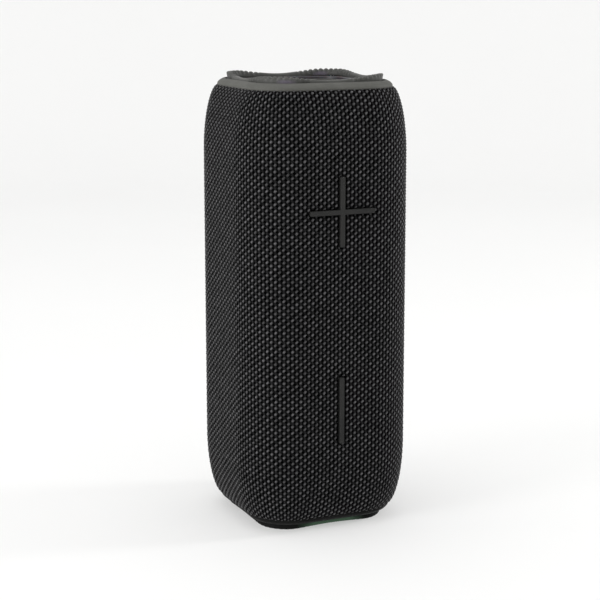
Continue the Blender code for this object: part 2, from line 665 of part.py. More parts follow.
def build_driver(side, direction):
    """Basket, magnet, cone with coil, spider, surround and gasket of one driver."""
    place = add_empty(f"driver_{side}", (0, 0, MIDDLE), facing(direction))
    flange_back = DRIVER_FACE - DRIVER_FLANGE_THICKNESS
    opening = DRIVER_RADIUS - DRIVER_LAND - SURROUND_THICKNESS
    basket_back = DRIVER_FACE - BASKET_DEPTH
    magnet_hole = COIL_RADIUS + COIL_CLEARANCE
    neck = BASKET_BACK_RADIUS - BASKET_WALL
    basket = [
        (DRIVER_RADIUS, DRIVER_FACE),
        (DRIVER_RADIUS, flange_back),
        (opening + BASKET_WALL - GAP, flange_back),
        (BASKET_BACK_RADIUS, basket_back),
        (magnet_hole, basket_back),
        (magnet_hole, basket_back + BASKET_WALL),
        (neck, basket_back + BASKET_WALL),
        (opening - GAP, flange_back),
        (opening - GAP, DRIVER_FACE),
    ]
    turned(f"driver_basket_{side}", basket, "steel", parent=place)
    magnet_front = basket_back - GAP
    magnet_back = magnet_front - MAGNET_LENGTH
    gap_outer = magnet_hole
    gap_inner = COIL_RADIUS - COIL_WALL - COIL_CLEARANCE
    gap_floor = magnet_back + MAGNET_LENGTH * 0.3
    magnet = [
        (MAGNET_RADIUS - BASKET_WALL, magnet_back),
        (MAGNET_RADIUS, magnet_back + BASKET_WALL),
        (MAGNET_RADIUS, magnet_front),
        (gap_outer, magnet_front),
        (gap_outer, gap_floor),
        (gap_inner, gap_floor),
        (gap_inner, magnet_front),
    ]
    turned(f"driver_magnet_{side}", magnet, "magnet", False, parent=place)
    build_cone(side, place, magnet_front)
    low = DRIVER_FACE + GAP
    surround_land = DRIVER_LAND - GAP
    roll_outer = DRIVER_RADIUS - surround_land
    roll_inner = roll_outer - SURROUND_ROLL_WIDTH
    crown = low + SURROUND_THICKNESS + DRIVER_ROLL_HEIGHT
    surround = [
        (DRIVER_RADIUS, low),
        (DRIVER_RADIUS, low + SURROUND_THICKNESS),
        (roll_outer, low + SURROUND_THICKNESS),
        ((roll_outer + roll_inner) / 2 + COIL_WALL, crown),
        ((roll_outer + roll_inner) / 2 - COIL_WALL, crown),
        (roll_inner, low + SURROUND_THICKNESS),
        (roll_inner - surround_land / 2, low + SURROUND_THICKNESS),
        (roll_inner - surround_land / 2, low),
        (roll_inner + GAP, low),
        ((roll_outer + roll_inner) / 2, crown - SURROUND_THICKNESS),
        (roll_outer - GAP, low),
    ]
    turned(f"driver_surround_{side}", surround, "radiator_rubber", parent=place)
    gasket_low = low + SURROUND_THICKNESS + GAP
    gasket = [
        (DRIVER_RADIUS - GASKET_INSET, gasket_low),
        (DRIVER_RADIUS - GASKET_INSET, gasket_low + GASKET_THICKNESS),
        (roll_outer + GAP, gasket_low + GASKET_THICKNESS),
        (roll_outer + GAP, gasket_low),
    ]
    turned(f"driver_gasket_{side}", gasket, "gasket_foam", parent=place)


def build_cone(side, place, magnet_front):
    """Cone with its dust cap and voice coil, and the spider that centres them."""
    rim = DRIVER_RADIUS - DRIVER_LAND + GAP - SURROUND_ROLL_WIDTH
    rim_face = DRIVER_FACE - CONE_RIM_DROP
    coil_end = magnet_front - MAGNET_LENGTH * 0.35
    neck = rim_face - 6.5 * MM
    cap_edge = COIL_RADIUS * 0.95
    cone = [
        (COIL_RADIUS * 0.35, neck + 3.4 * MM),
        (COIL_RADIUS * 0.75, neck + 2.6 * MM),
        (cap_edge, neck + 1.4 * MM),
        (rim, rim_face),
        (rim, rim_face - CONE_THICKNESS),
        (COIL_RADIUS, neck - CONE_THICKNESS),
        (COIL_RADIUS, coil_end),
        (COIL_RADIUS - COIL_WALL, coil_end),
        (COIL_RADIUS - COIL_WALL, neck),
        (COIL_RADIUS * 0.35, neck + 3.4 * MM - CONE_THICKNESS),
    ]
    turned(f"driver_cone_{side}", cone, "cone_paper", False, parent=place)
    spider_low = DRIVER_FACE - BASKET_DEPTH + BASKET_WALL + 1.5 * MM
    spider_high = spider_low + COIL_WALL
    spider_outer = BASKET_BACK_RADIUS - BASKET_WALL + 0.5 * MM
    spider = [
        (spider_outer, spider_low),
        (spider_outer, spider_high),
        (COIL_RADIUS + GAP, spider_high),
        (COIL_RADIUS + GAP, spider_low),
    ]
    turned(f"driver_spider_{side}", spider, "spider_cloth", parent=place)


# Keys, buttons and sockets, each built about an empty with +Z outwards through its wall


def build_key(name, outline, flange, nub, height):
    """A raised rubber key that comes through the front, and the board with its switch."""
    place = add_empty(f"{name}_place", (0, 0, height), facing(-1))
    levels = [
        (outline, KEY_FRONT),
        (outline, FLANGE_FRONT),
        (flange, FLANGE_FRONT),
        (flange, FLANGE_BACK),
        (nub, FLANGE_BACK),
        (nub, NUB_END),
    ]
    stacked(f"{name}_key", levels, "key_rubber", parent=place)
    board = rounded_rectangle(KEY_BOARD_HALF, KEY_BOARD_HALF, 1.5 * MM, 4)
    levels = [
        (board, KEY_BOARD_BACK),
        (board, KEY_BOARD_FRONT),
        (circle(SWITCH_RADIUS, len(board)), KEY_BOARD_FRONT),
        (circle(SWITCH_RADIUS * 0.7, len(board)), SWITCH_TOP),
    ]
    stacked(f"{name}_board", levels, "board_green", parent=place)


def build_keys():
    """The plus above and the minus below the front driver."""
    half_bar = KEY_BAR / 2
    wide = half_bar + FLANGE_GROWTH
    small = 0.9 * MM
    build_key(
        "plus",
        plus_outline(KEY_SPAN / 2, half_bar),
        plus_outline(KEY_SPAN / 2 + FLANGE_GROWTH, wide),
        plus_outline(2 * small, small),
        PLUS_HEIGHT,
    )
    build_key(
        "minus",
        minus_outline(MINUS_LENGTH / 2, half_bar),
        minus_outline(MINUS_LENGTH / 2 + FLANGE_GROWTH, wide),
        minus_outline(2 * small, small),
        MINUS_HEIGHT,
    )


def button_heights():
    """Heights of the rear buttons, top to bottom."""
    first = STRIP_MIDDLE + (BUTTON_COUNT - 1) * BUTTON_PITCH / 2
    return [first - number * BUTTON_PITCH for number in range(BUTTON_COUNT)]


def build_buttons():
    """Rear strip with its row of buttons and their board."""
    place = add_empty("strip_place", (0, 0, STRIP_MIDDLE), facing(1))
    outside = rounded_rectangle(STRIP_HALF_WIDTH, STRIP_HALF_HEIGHT, PORT_CORNER - GAP, 3)
    grown = FLANGE_GROWTH
    flange = rounded_rectangle(STRIP_HALF_WIDTH + grown, STRIP_HALF_HEIGHT + grown, PORT_CORNER, 3)
    pocket_half = (STRIP_HALF_WIDTH - PANEL_WALL, STRIP_HALF_HEIGHT - PANEL_WALL)
    pocket = rounded_rectangle(*pocket_half, PORT_CORNER - PANEL_WALL, 3)
    levels = [
        (outside, STRIP_FRONT),
        (outside, FLANGE_FRONT),
        (flange, FLANGE_FRONT),
        (flange, STRIP_BACK),
        (pocket, STRIP_BACK),
        (pocket, STRIP_FRONT - PANEL_FACE),
    ]
    strip = stacked("control_strip", levels, "key_rubber", parent=place)
    names = ("power", "pairing", "play", "light")
    width, height = BUTTON_HALF_WIDTH, BUTTON_HALF_HEIGHT
    cap = rounded_rectangle(width, height, height * 0.9, 3)
    hole = rounded_rectangle(width + GAP, height + GAP, height * 0.9 + GAP, 3)
    base = rounded_rectangle(width + FLANGE_GROWTH / 2, height + FLANGE_GROWTH / 2, height * 0.9, 3)
    nub = rounded_rectangle(1.2 * MM, 1.2 * MM, 0.9 * MM, 3)
    for name, centre in zip(names, button_heights()):
        spot = add_empty(f"{name}_place", (0, 0, centre), facing(1))
        levels = [(hole, STRIP_BACK), (hole, KEY_FRONT)]
        boolean(strip, stacked(f"cut_{name}", levels, None, parent=spot))
        levels = [
            (cap, KEY_FRONT),
            (cap, BUTTON_FLANGE_FRONT),
            (base, BUTTON_FLANGE_FRONT),
            (base, BUTTON_FLANGE_FRONT - FLANGE_THICKNESS),
            (nub, BUTTON_FLANGE_FRONT - FLANGE_THICKNESS),
            (nub, BUTTON_NUB_END),
        ]
        stacked(f"{name}_button", levels, "key_rubber", parent=spot)
    board = rounded_rectangle(STRIP_HALF_WIDTH, STRIP_HALF_HEIGHT, 1 * MM, 2)
    levels = [(board, BUTTON_BOARD_BACK), (board, BUTTON_BOARD_FRONT)]
    button_board = stacked("button_board", levels, "board_green", parent=place)
    for name, centre in zip(names, button_heights()):
        profile = [(SWITCH_RADIUS, BUTTON_BOARD_BACK + GAP), (SWITCH_RADIUS * 0.8, BUTTON_SWITCH_TOP)]
        spot = {"location": (0, 0, centre), "rotation": facing(1)}
        dome = turned(f"dome_{name}", profile, None, False, SMALL_STEPS, **spot)
        boolean(button_board, dome, "UNION")


def build_sockets():
    """Tray with its flap, and the sockets that reach it from the main board."""
    place = add_empty("port_place", (0, 0, PORT_MIDDLE), facing(1))
    inside = rounded_rectangle(PORT_HALF_WIDTH, PORT_HALF_HEIGHT, PORT_CORNER - TRAY_WALL, 3)
    wall = (PORT_HALF_WIDTH + TRAY_WALL, PORT_HALF_HEIGHT + TRAY_WALL)
    outside = rounded_rectangle(*wall, PORT_CORNER - GAP, 3)
    flange = rounded_rectangle(*(half + FLANGE_GROWTH for half in wall), PORT_CORNER, 3)
    levels = [
        (outside, TRAY_BACK),
        (outside, STRIP_BACK),
        (flange, STRIP_BACK),
        (flange, FLANGE_FRONT),
        (outside, FLANGE_FRONT),
        (outside, TRAY_FRONT),
        (inside, TRAY_FRONT),
        (inside, TRAY_FLOOR_FRONT),
    ]
    tray = stacked("port_tray", levels, "shell_plastic", parent=place)
    face = (PORT_HALF_WIDTH - GAP, PORT_HALF_HEIGHT - GAP)
    lip = tuple(half - MM for half in face)
    cover = rounded_rectangle(*face, PORT_CORNER - TRAY_WALL, 3)
    plug = rounded_rectangle(*lip, PORT_CORNER - TRAY_WALL, 3)
    pull = rounded_rectangle(*(half - GAP for half in face), PORT_CORNER - TRAY_WALL, 3)
    levels = [
        (pull, KEY_FRONT),
        (cover, KEY_FRONT - GAP),
        (cover, KEY_FRONT - FLAP_THICKNESS),
        (plug, KEY_FRONT - FLAP_THICKNESS),
        (plug, KEY_FRONT - FLAP_THICKNESS - FLAP_LIP),
    ]
    hinge = add_empty("flap_hinge", (0, KEY_FRONT, PORT_MIDDLE - face[1]))
    flap = stacked("port_flap", levels, "key_rubber", parent=hinge, rotation=facing(1))
    flap.location = (0, -KEY_FRONT, face[1])
    build_socket(tray, "usb_port", (5.4 * MM, 4.5 * MM), (4.5 * MM, 1.65 * MM), 1.5 * MM, 0.4 * MM)
    build_socket(tray, "aux_jack", (-6.0 * MM, 4.5 * MM), (3.1 * MM, 3.1 * MM), 3.0 * MM, 1.3 * MM)
    build_socket(tray, "card_slot", (0, -5.5 * MM), (7.0 * MM, 1.3 * MM), 0.6 * MM, 0.6 * MM)


def build_socket(tray, name, centre, half, corner, wall):
    """A socket whose mouth is flush with the tray's floor, and its hole in that floor."""
    location = (centre[0], 0, PORT_MIDDLE + centre[1])
    spot = add_empty(f"{name}_place", location, facing(1))
    outside = rounded_rectangle(*half, corner * 0.98, 4)
    mouth = rounded_rectangle(*(size - wall for size in half), max(corner - wall, GAP), 4)
    levels = [
        (outside, MAIN_BOARD_FACE + GAP),
        (outside, TRAY_FLOOR_FRONT),
        (mouth, TRAY_FLOOR_FRONT),
        (mouth, MAIN_BOARD_FACE + GAP + MM),
    ]
    stacked(name, levels, "steel", parent=spot)
    hole = rounded_rectangle(*(size + GAP for size in half), corner + GAP * 0.98, 4)
    levels = [(hole, TRAY_BACK - MM), (hole, TRAY_FLOOR_FRONT + MM)]
    boolean(tray, stacked(f"cut_{name}", levels, None, parent=spot))


# Inside


def reach_inside(distance):
    """Half-length of a straight piece across the column at a distance from its axis, clear of the shell."""
    corner = (SHELL_INSIDE - CORE_HALF) * math.cos(math.pi / 4 / CORNER_STEPS)
    beyond = max(0.0, abs(distance) - CORE_HALF)
    return CORE_HALF + math.sqrt(corner**2 - beyond**2) - BAR_INSIDE_CORNER


def cross_piece(chassis, name, reach, depths, height, half_height):
    """Joins a block across the column to the chassis, between two depths along y."""
    low = (-reach, min(depths), height - half_height)
    high = (reach, max(depths), height + half_height)
    boolean(chassis, add_object(name, box_mesh(name, low, high), None), "UNION")


def board_bench(chassis, name, side, board_back, height):
    """A beam between two posts on the front (-1) or rear (1), with a pad out to a board's back."""
    half = CROSSBAR_HEIGHT / 2
    depths = [side * (SCREW_OFFSET + sign * POST_RADIUS / 2) for sign in (-1, 1)]
    cross_piece(chassis, f"{name}_beam", SCREW_OFFSET, depths, height, half)
    depths = (side * SCREW_OFFSET, side * (board_back - GAP))
    cross_piece(chassis, f"{name}_pad", KEY_BOARD_HALF, depths, height, half - POST_RADIUS / 4)


def build_chassis():
    """Two decks on four posts, with a baffle for each driver and bars for the boards."""
    deck = column_outline(DECK_HALF)
    decks = []
    for name, sign in (("lower", -1), ("upper", 1)):
        middle = MIDDLE + sign * DECK_SPACING / 2
        levels = [(deck, middle - DECK_THICKNESS / 2), (deck, middle + DECK_THICKNESS / 2)]
        decks.append(levels)
    chassis = stacked("inner_chassis", decks[0], "frame_plastic")
    boolean(chassis, stacked("upper_deck", decks[1], None), "UNION")
    for side, direction in (("front", -1), ("rear", 1)):
        near = direction * (DRIVER_FACE - DRIVER_FLANGE_THICKNESS - GAP)
        far = near - direction * BAFFLE_THICKNESS
        reach = reach_inside(near)
        low = (-reach, min(near, far), MIDDLE - DECK_SPACING / 2)
        high = (reach, max(near, far), MIDDLE + DECK_SPACING / 2)
        baffle = add_object(f"baffle_{side}", box_mesh(f"baffle_{side}", low, high), None)
        boolean(chassis, baffle, "UNION")
    bottom = FABRIC_BOTTOM - POST_END
    top = FABRIC_TOP + POST_END
    for number, (x, y) in enumerate(screw_places(), 1):
        profile = [(POST_RADIUS, bottom), (POST_RADIUS, top)]
        post = turned(f"post_{number}", profile, None, False, SMALL_STEPS, location=(x, y, 0))
        boolean(chassis, post, "UNION")
    board_bench(chassis, "plus", -1, KEY_BOARD_BACK, PLUS_HEIGHT)
    board_bench(chassis, "minus", -1, KEY_BOARD_BACK, MINUS_HEIGHT)
    board_bench(chassis, "strip", 1, BUTTON_BOARD_BACK, STRIP_MIDDLE)
    board_back = MAIN_BOARD_FACE - MAIN_BOARD_THICKNESS - GAP
    depths = (board_back, board_back - POST_RADIUS)
    half = CROSSBAR_HEIGHT / 2
    for name, height in (("low_bar", MAIN_BOARD_BOTTOM + half), ("high_bar", MAIN_BOARD_TOP - half)):
        cross_piece(chassis, name, SCREW_OFFSET, depths, height, half)
    basket_hole = DRIVER_RADIUS - DRIVER_LAND
    profile = [(basket_hole, -DRIVER_FACE), (basket_hole, DRIVER_FACE)]
    place = {"location": (0, 0, MIDDLE), "rotation": facing(1)}
    boolean(chassis, turned("cut_baskets", profile, None, False, **place))
    pilot = SCREW_BITE + MM
    for number, (x, y) in enumerate(screw_places(), 1):
        for name, mouth, direction in (("low", bottom, 1), ("high", top, -1)):
            ends = sorted((mouth - direction * MM, mouth + direction * pilot))
            profile = [(SCREW_HOLE_RADIUS, ends[0]), (SCREW_HOLE_RADIUS, ends[1])]
            cut_name = f"pilot_{name}_{number}"
            hole = turned(cut_name, profile, None, False, SMALL_STEPS, location=(x, y, 0))
            boolean(chassis, hole)


def build_main_board():
    """Main board behind the sockets, with its chips and coil on the inner side."""
    inner_face = MAIN_BOARD_FACE - MAIN_BOARD_THICKNESS
    low = (-MAIN_BOARD_HALF_WIDTH, inner_face, MAIN_BOARD_BOTTOM)
    high = (MAIN_BOARD_HALF_WIDTH, MAIN_BOARD_FACE, MAIN_BOARD_TOP)
    board = add_object("main_board", box_mesh("main_board", low, high), "board_green")
    chips = {
        "amplifier": ((-10, -8), (5, 5), 2.0),
        "radio": ((8, -4), (4, 6), 1.2),
        "inductor": ((-6, -19), (4, 4), 5.0),
        "connector": ((11, -18), (5, 3), 4.0),
    }
    for name, ((x, z), (half_x, half_z), tall) in chips.items():
        low = ((x - half_x) * MM, inner_face - tall * MM, PORT_MIDDLE + (z - half_z) * MM)
        board_middle = MAIN_BOARD_FACE - MAIN_BOARD_THICKNESS / 2
        high = ((x + half_x) * MM, board_middle, PORT_MIDDLE + (z + half_z) * MM)
        boolean(board, add_object(name, box_mesh(name, low, high), None), "UNION")


def build_battery():
    """Two cells lying across the column on a C-shaped bracket."""
    for number, sign in ((1, -1), (2, 1)):
        height = BATTERY_MIDDLE + sign * CELL_PITCH / 2
        half = CELL_LENGTH / 2
        cap = CELL_RADIUS * 0.9
        button = 3 * MM
        profile = [
            (cap, -half),
            (CELL_RADIUS, -half + 0.5 * MM),
            (CELL_RADIUS, half - 1.5 * MM),
            (cap, half - 1 * MM),
            (button, half - 1 * MM),
            (button, half),
        ]
        place = {"location": (0, 0, height), "rotation": (0, math.pi / 2, 0)}
        turned(f"battery_cell_{number}", profile, "cell_wrap", False, 16, **place)
    inner_y = CELL_RADIUS + GAP
    inner_z = CELL_PITCH / 2 + CELL_RADIUS + GAP
    outer_y = inner_y + BRACKET_WALL
    outer_z = inner_z + BRACKET_WALL
    outline = [
        (-CELL_RADIUS, -outer_z),
        (outer_y, -outer_z),
        (outer_y, outer_z),
        (-CELL_RADIUS, outer_z),
        (-CELL_RADIUS, inner_z),
        (inner_y, inner_z),
        (inner_y, -inner_z),
        (-CELL_RADIUS, -inner_z),
    ]
    rings = []
    for x in (-BRACKET_HALF_LENGTH, BRACKET_HALF_LENGTH):
        rings.append([Vector((x, y, BATTERY_MIDDLE + z)) for y, z in outline])
    add_object("battery_bracket", lofted_mesh("battery_bracket", rings, False), "frame_plastic")


def main():
    """Builds the whole speaker."""
    for obj in list(bpy.data.objects):
        bpy.data.objects.remove(obj, do_unlink=True)
    build_sleeve_and_shell()
    build_end("top", (0, 0, FABRIC_TOP), (0, 0, 0))
    build_end("bottom", (0, 0, FABRIC_BOTTOM), (math.pi, 0, 0))
    build_driver("front", -1)
    build_driver("rear", 1)
    build_keys()
    build_buttons()
    build_sockets()
    build_chassis()
    build_main_board()
    build_battery()


main()
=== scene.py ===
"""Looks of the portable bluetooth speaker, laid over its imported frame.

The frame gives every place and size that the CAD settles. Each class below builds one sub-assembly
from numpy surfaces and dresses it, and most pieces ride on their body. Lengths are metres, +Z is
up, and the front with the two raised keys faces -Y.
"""

import json
import logging
import math
from collections.abc import Callable, Sequence
from dataclasses import dataclass, field, replace
from enum import Enum

import bpy
import numpy as np
from mathutils import Euler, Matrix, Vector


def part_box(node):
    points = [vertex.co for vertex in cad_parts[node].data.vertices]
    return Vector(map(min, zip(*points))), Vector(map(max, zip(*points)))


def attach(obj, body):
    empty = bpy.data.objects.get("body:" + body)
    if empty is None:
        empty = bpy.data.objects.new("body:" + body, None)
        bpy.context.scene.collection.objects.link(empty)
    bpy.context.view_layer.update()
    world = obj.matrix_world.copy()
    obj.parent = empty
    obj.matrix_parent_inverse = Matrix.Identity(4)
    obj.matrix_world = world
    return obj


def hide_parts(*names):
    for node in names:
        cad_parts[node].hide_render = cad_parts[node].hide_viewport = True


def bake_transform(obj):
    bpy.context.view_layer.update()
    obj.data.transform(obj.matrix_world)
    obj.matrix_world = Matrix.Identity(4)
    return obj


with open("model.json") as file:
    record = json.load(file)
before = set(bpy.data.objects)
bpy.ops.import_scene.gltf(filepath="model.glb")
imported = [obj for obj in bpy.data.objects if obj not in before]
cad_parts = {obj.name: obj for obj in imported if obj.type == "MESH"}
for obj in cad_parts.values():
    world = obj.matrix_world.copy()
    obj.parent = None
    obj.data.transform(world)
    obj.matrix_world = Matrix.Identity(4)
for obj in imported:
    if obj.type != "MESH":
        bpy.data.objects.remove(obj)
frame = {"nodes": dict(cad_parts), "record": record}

MM = 0.001
LOG = logging.getLogger("speaker")
Colour = tuple[float, float, float]
NOISE_LOW, NOISE_HIGH = 0.3, 0.7
RUN_ON = 1.3


class Wall(Enum):
    """The wall that a flat piece faces out of, by the sign of its y."""

    FRONT = -1
    REAR = 1


class End(Enum):
    """An end of the column, by the sign of its outward direction along z."""

    TOP = 1
    BOTTOM = -1


# Surfaces


@dataclass
class Surface:
    """A surface as arrays: points of shape (n, 3), and faces as arrays of (count, corners)."""

    points: np.ndarray
    faces: list[np.ndarray]

    def joined(self, *others: "Surface") -> "Surface":
        """This surface and others as one.

        Args:
            others: surfaces to add.

        Returns:
            One surface with every point and face.
        """
        parts = (self, *others)
        starts = np.cumsum([0] + [len(part.points) for part in parts[:-1]])
        faces = [face + start for part, start in zip(parts, starts) for face in part.faces]
        return Surface(np.concatenate([part.points for part in parts]), faces)

    def facing_out(self) -> "Surface":
        """A closed surface with its faces turned outwards.

        Its volume is the sum over the triangles of a . (b x c) / 6; a negative sum means that the
        faces look inwards, and then each one's corners are reversed.

        Returns:
            The surface, turned if it needed it.
        """
        volume = 0.0
        for face in self.faces:
            first = self.points[face[:, 0]]
            for corner in range(1, face.shape[1] - 1):
                second, third = self.points[face[:, corner]], self.points[face[:, corner + 1]]
                volume += float((first * np.cross(second, third)).sum())
        if volume < 0:
            self.faces = [face[:, ::-1] for face in self.faces]
        return self

    def piece(self, name: str, finish: bpy.types.Material) -> bpy.types.Object:
        """The surface as a mesh object at the origin, smooth but for edges over 40 degrees.

        Args:
            name: the piece's name.
            finish: its material.

        Returns:
            The new object.
        """
        data = bpy.data.meshes.new(name)
        corners = np.concatenate([face.ravel() for face in self.faces]).astype(np.int32)
        totals = np.concatenate([np.full(len(face), face.shape[1]) for face in self.faces])
        starts = np.concatenate([[0], np.cumsum(totals)[:-1]])
        data.vertices.add(len(self.points))
        data.vertices.foreach_set("co", self.points.astype(np.float32).ravel())
        data.loops.add(len(corners))
        data.loops.foreach_set("vertex_index", corners)
        data.polygons.add(len(totals))
        data.polygons.foreach_set("loop_start", starts.astype(np.int32))
        data.polygons.foreach_set("loop_total", totals.astype(np.int32))
        data.polygons.foreach_set("use_smooth", np.full(len(totals), True))
        data.update(calc_edges=True)
        data.validate()
        data.set_sharp_from_angle(angle=math.radians(40))
        data.materials.append(finish)
        obj = bpy.data.objects.new(name, data)
        bpy.context.scene.collection.objects.link(obj)
        return obj


def grid_quads(rows: int, columns: int, wrap_rows: bool, wrap_columns: bool) -> np.ndarray:
    """Quads of a grid of points.

    Quad (r, c) joins points (r, c), (r, c+1), (r+1, c+1) and (r+1, c); a wrapped side comes round
    to its start.

    Args:
        rows: rows of points.
        columns: points in a row.
        wrap_rows: whether the last row joins the first.
        wrap_columns: whether a row's last point joins its first.

    Returns:
        An array of (quads, 4) point numbers.
    """
    row = np.arange(rows if wrap_rows else rows - 1)[:, None]
    column = np.arange(columns if wrap_columns else columns - 1)[None, :]
    row_on, column_on = (row + 1) % rows, (column + 1) % columns
    corners = [
        row * columns + column,
        row * columns + column_on,
        row_on * columns + column_on,
        row_on * columns + column,
    ]
    return np.stack(np.broadcast_arrays(*corners), axis=-1).reshape(-1, 4)


def swept(points: np.ndarray, closed: bool) -> Surface:
    """A closed section carried along a path, capped at both ends where the path is open.

    Args:
        points: (section, path, 3) points.
        closed: whether the path comes round to its start.

    Returns:
        The closed surface.
    """
    rows, count = points.shape[:2]
    faces = [grid_quads(rows, count, True, closed)]
    if not closed:
        caps = np.arange(rows)[None, :] * count
        faces += [caps[:, ::-1], caps + count - 1]
    return Surface(points.reshape(-1, 3), faces).facing_out()


def filleted(corners: np.ndarray, radii: np.ndarray, steps: int = 4) -> np.ndarray:
    """A closed polygon with its corners rounded.

    Each corner p becomes the quadratic curve from a to b, where a and b lie the corner's radius
    away along its two edges: (1-t)^2 a + 2 t (1-t) p + t^2 b. A point RUN_ON times as far away on
    each edge keeps the straight runs flat.

    Args:
        corners: (n, 2) corners.
        radii: (n,) distances that the curves start from each corner.
        steps: pieces of each curve.

    Returns:
        (n * (steps + 3), 2) points.
    """
    before = np.roll(corners, 1, axis=0) - corners
    after = np.roll(corners, -1, axis=0) - corners
    before = before / np.linalg.norm(before, axis=1, keepdims=True)
    after = after / np.linalg.norm(after, axis=1, keepdims=True)
    reach = radii[:, None]
    first, last = corners + before * reach, corners + after * reach
    t = np.linspace(0, 1, steps + 1)[None, :, None]
    curve = (1 - t) ** 2 * first[:, None] + 2 * t * (1 - t) * corners[:, None] + t**2 * last[:, None]
    lead = (corners + before * reach * RUN_ON)[:, None]
    tail = (corners + after * reach * RUN_ON)[:, None]
    return np.concatenate([lead, curve, tail], axis=1).reshape(-1, 2)


def rounded_rectangle(half_x: float, half_y: float, radius: float, steps: int = 8) -> np.ndarray:
    """Outline of a rectangle with circular corners, anticlockwise.

    A corner's points are its centre plus the radius times (cos, sin) of angles over its quarter.

    Args:
        half_x: half its width.
        half_y: half its height.
        radius: of its corners.
        steps: pieces of each corner.

    Returns:
        (4 * (steps + 1), 2) points.
    """
    quarter = np.arange(4)[:, None]
    angle = quarter * math.pi / 2 + np.linspace(0, math.pi / 2, steps + 1)[None, :]
    side_x = np.where((quarter == 0) | (quarter == 3), 1, -1) * (half_x - radius)
    side_y = np.where(quarter < 2, 1, -1) * (half_y - radius)
    return np.stack([side_x + radius * np.cos(angle), side_y + radius * np.sin(angle)], -1).reshape(-1, 2)


def stacked(levels: Sequence[tuple[np.ndarray, float]], wall: Wall, height: float) -> Surface:
    """A capped solid through outlines at distances from the column's axis.

    A point (a, b) of an outline at distance d lies at x = a, y = the wall's sign times d and
    z = height + b.

    Args:
        levels: (outline, distance) pairs, from one cap to the other, with equally many points.
        wall: the wall that it faces.
        height: z of the outlines' origin.

    Returns:
        The closed surface.
    """
    rows, columns = len(levels), len(levels[0][0])
    flat = np.stack([outline for outline, _ in levels])
    depth = np.array([distance for _, distance in levels])[:, None]
    depth = np.broadcast_to(depth * wall.value, (rows, columns))
    points = np.stack([flat[..., 0], depth, height + flat[..., 1]], -1).reshape(-1, 3)
    quads = grid_quads(rows, columns, False, True)
    first = np.arange(columns)[None, ::-1]
    last = np.arange((rows - 1) * columns, rows * columns)[None, :]
    return Surface(points, [quads, first, last]).facing_out()


def cushion_levels(
    outline: Callable[[float], np.ndarray], low: float, face: float, shoulder: float, steps: int = 5
) -> list[tuple[np.ndarray, float]]:
    """Levels of a moulded key: a straight side, a quarter-round shoulder and a flat face.

    At angle t of the shoulder, the outline is inset by r (1 - cos t) and lies at face - r + r sin t.

    Args:
        outline: the outline at an inset.
        low: distance at which the side starts.
        face: distance of the face.
        shoulder: the radius r.
        steps: pieces of the shoulder.

    Returns:
        (outline, distance) pairs from low to the face.
    """
    angles = np.linspace(0, math.pi / 2, steps + 1)
    insets = shoulder * (1 - np.cos(angles))
    depths = face - shoulder + shoulder * np.sin(angles)
    sides = [(outline(0.0), low), (outline(0.0), face - shoulder * RUN_ON)]
    rounds = [(outline(float(inset)), float(depth)) for inset, depth in zip(insets, depths)]
    return sides + rounds + [(outline(shoulder * RUN_ON), face)]


def level(node: str) -> float:
    """Height of the middle of a node's box."""
    low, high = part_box(node)
    return (low.z + high.z) / 2


def declared(obj: bpy.types.Object, body: str, node: str | None) -> bpy.types.Object:
    """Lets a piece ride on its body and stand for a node.

    Args:
        obj: the piece.
        body: the body that carries it.
        node: the CAD node that it replaces, if any.

    Returns:
        The piece.
    """
    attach(obj, body)
    if node:
        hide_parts(node)
    return obj


# Finishes


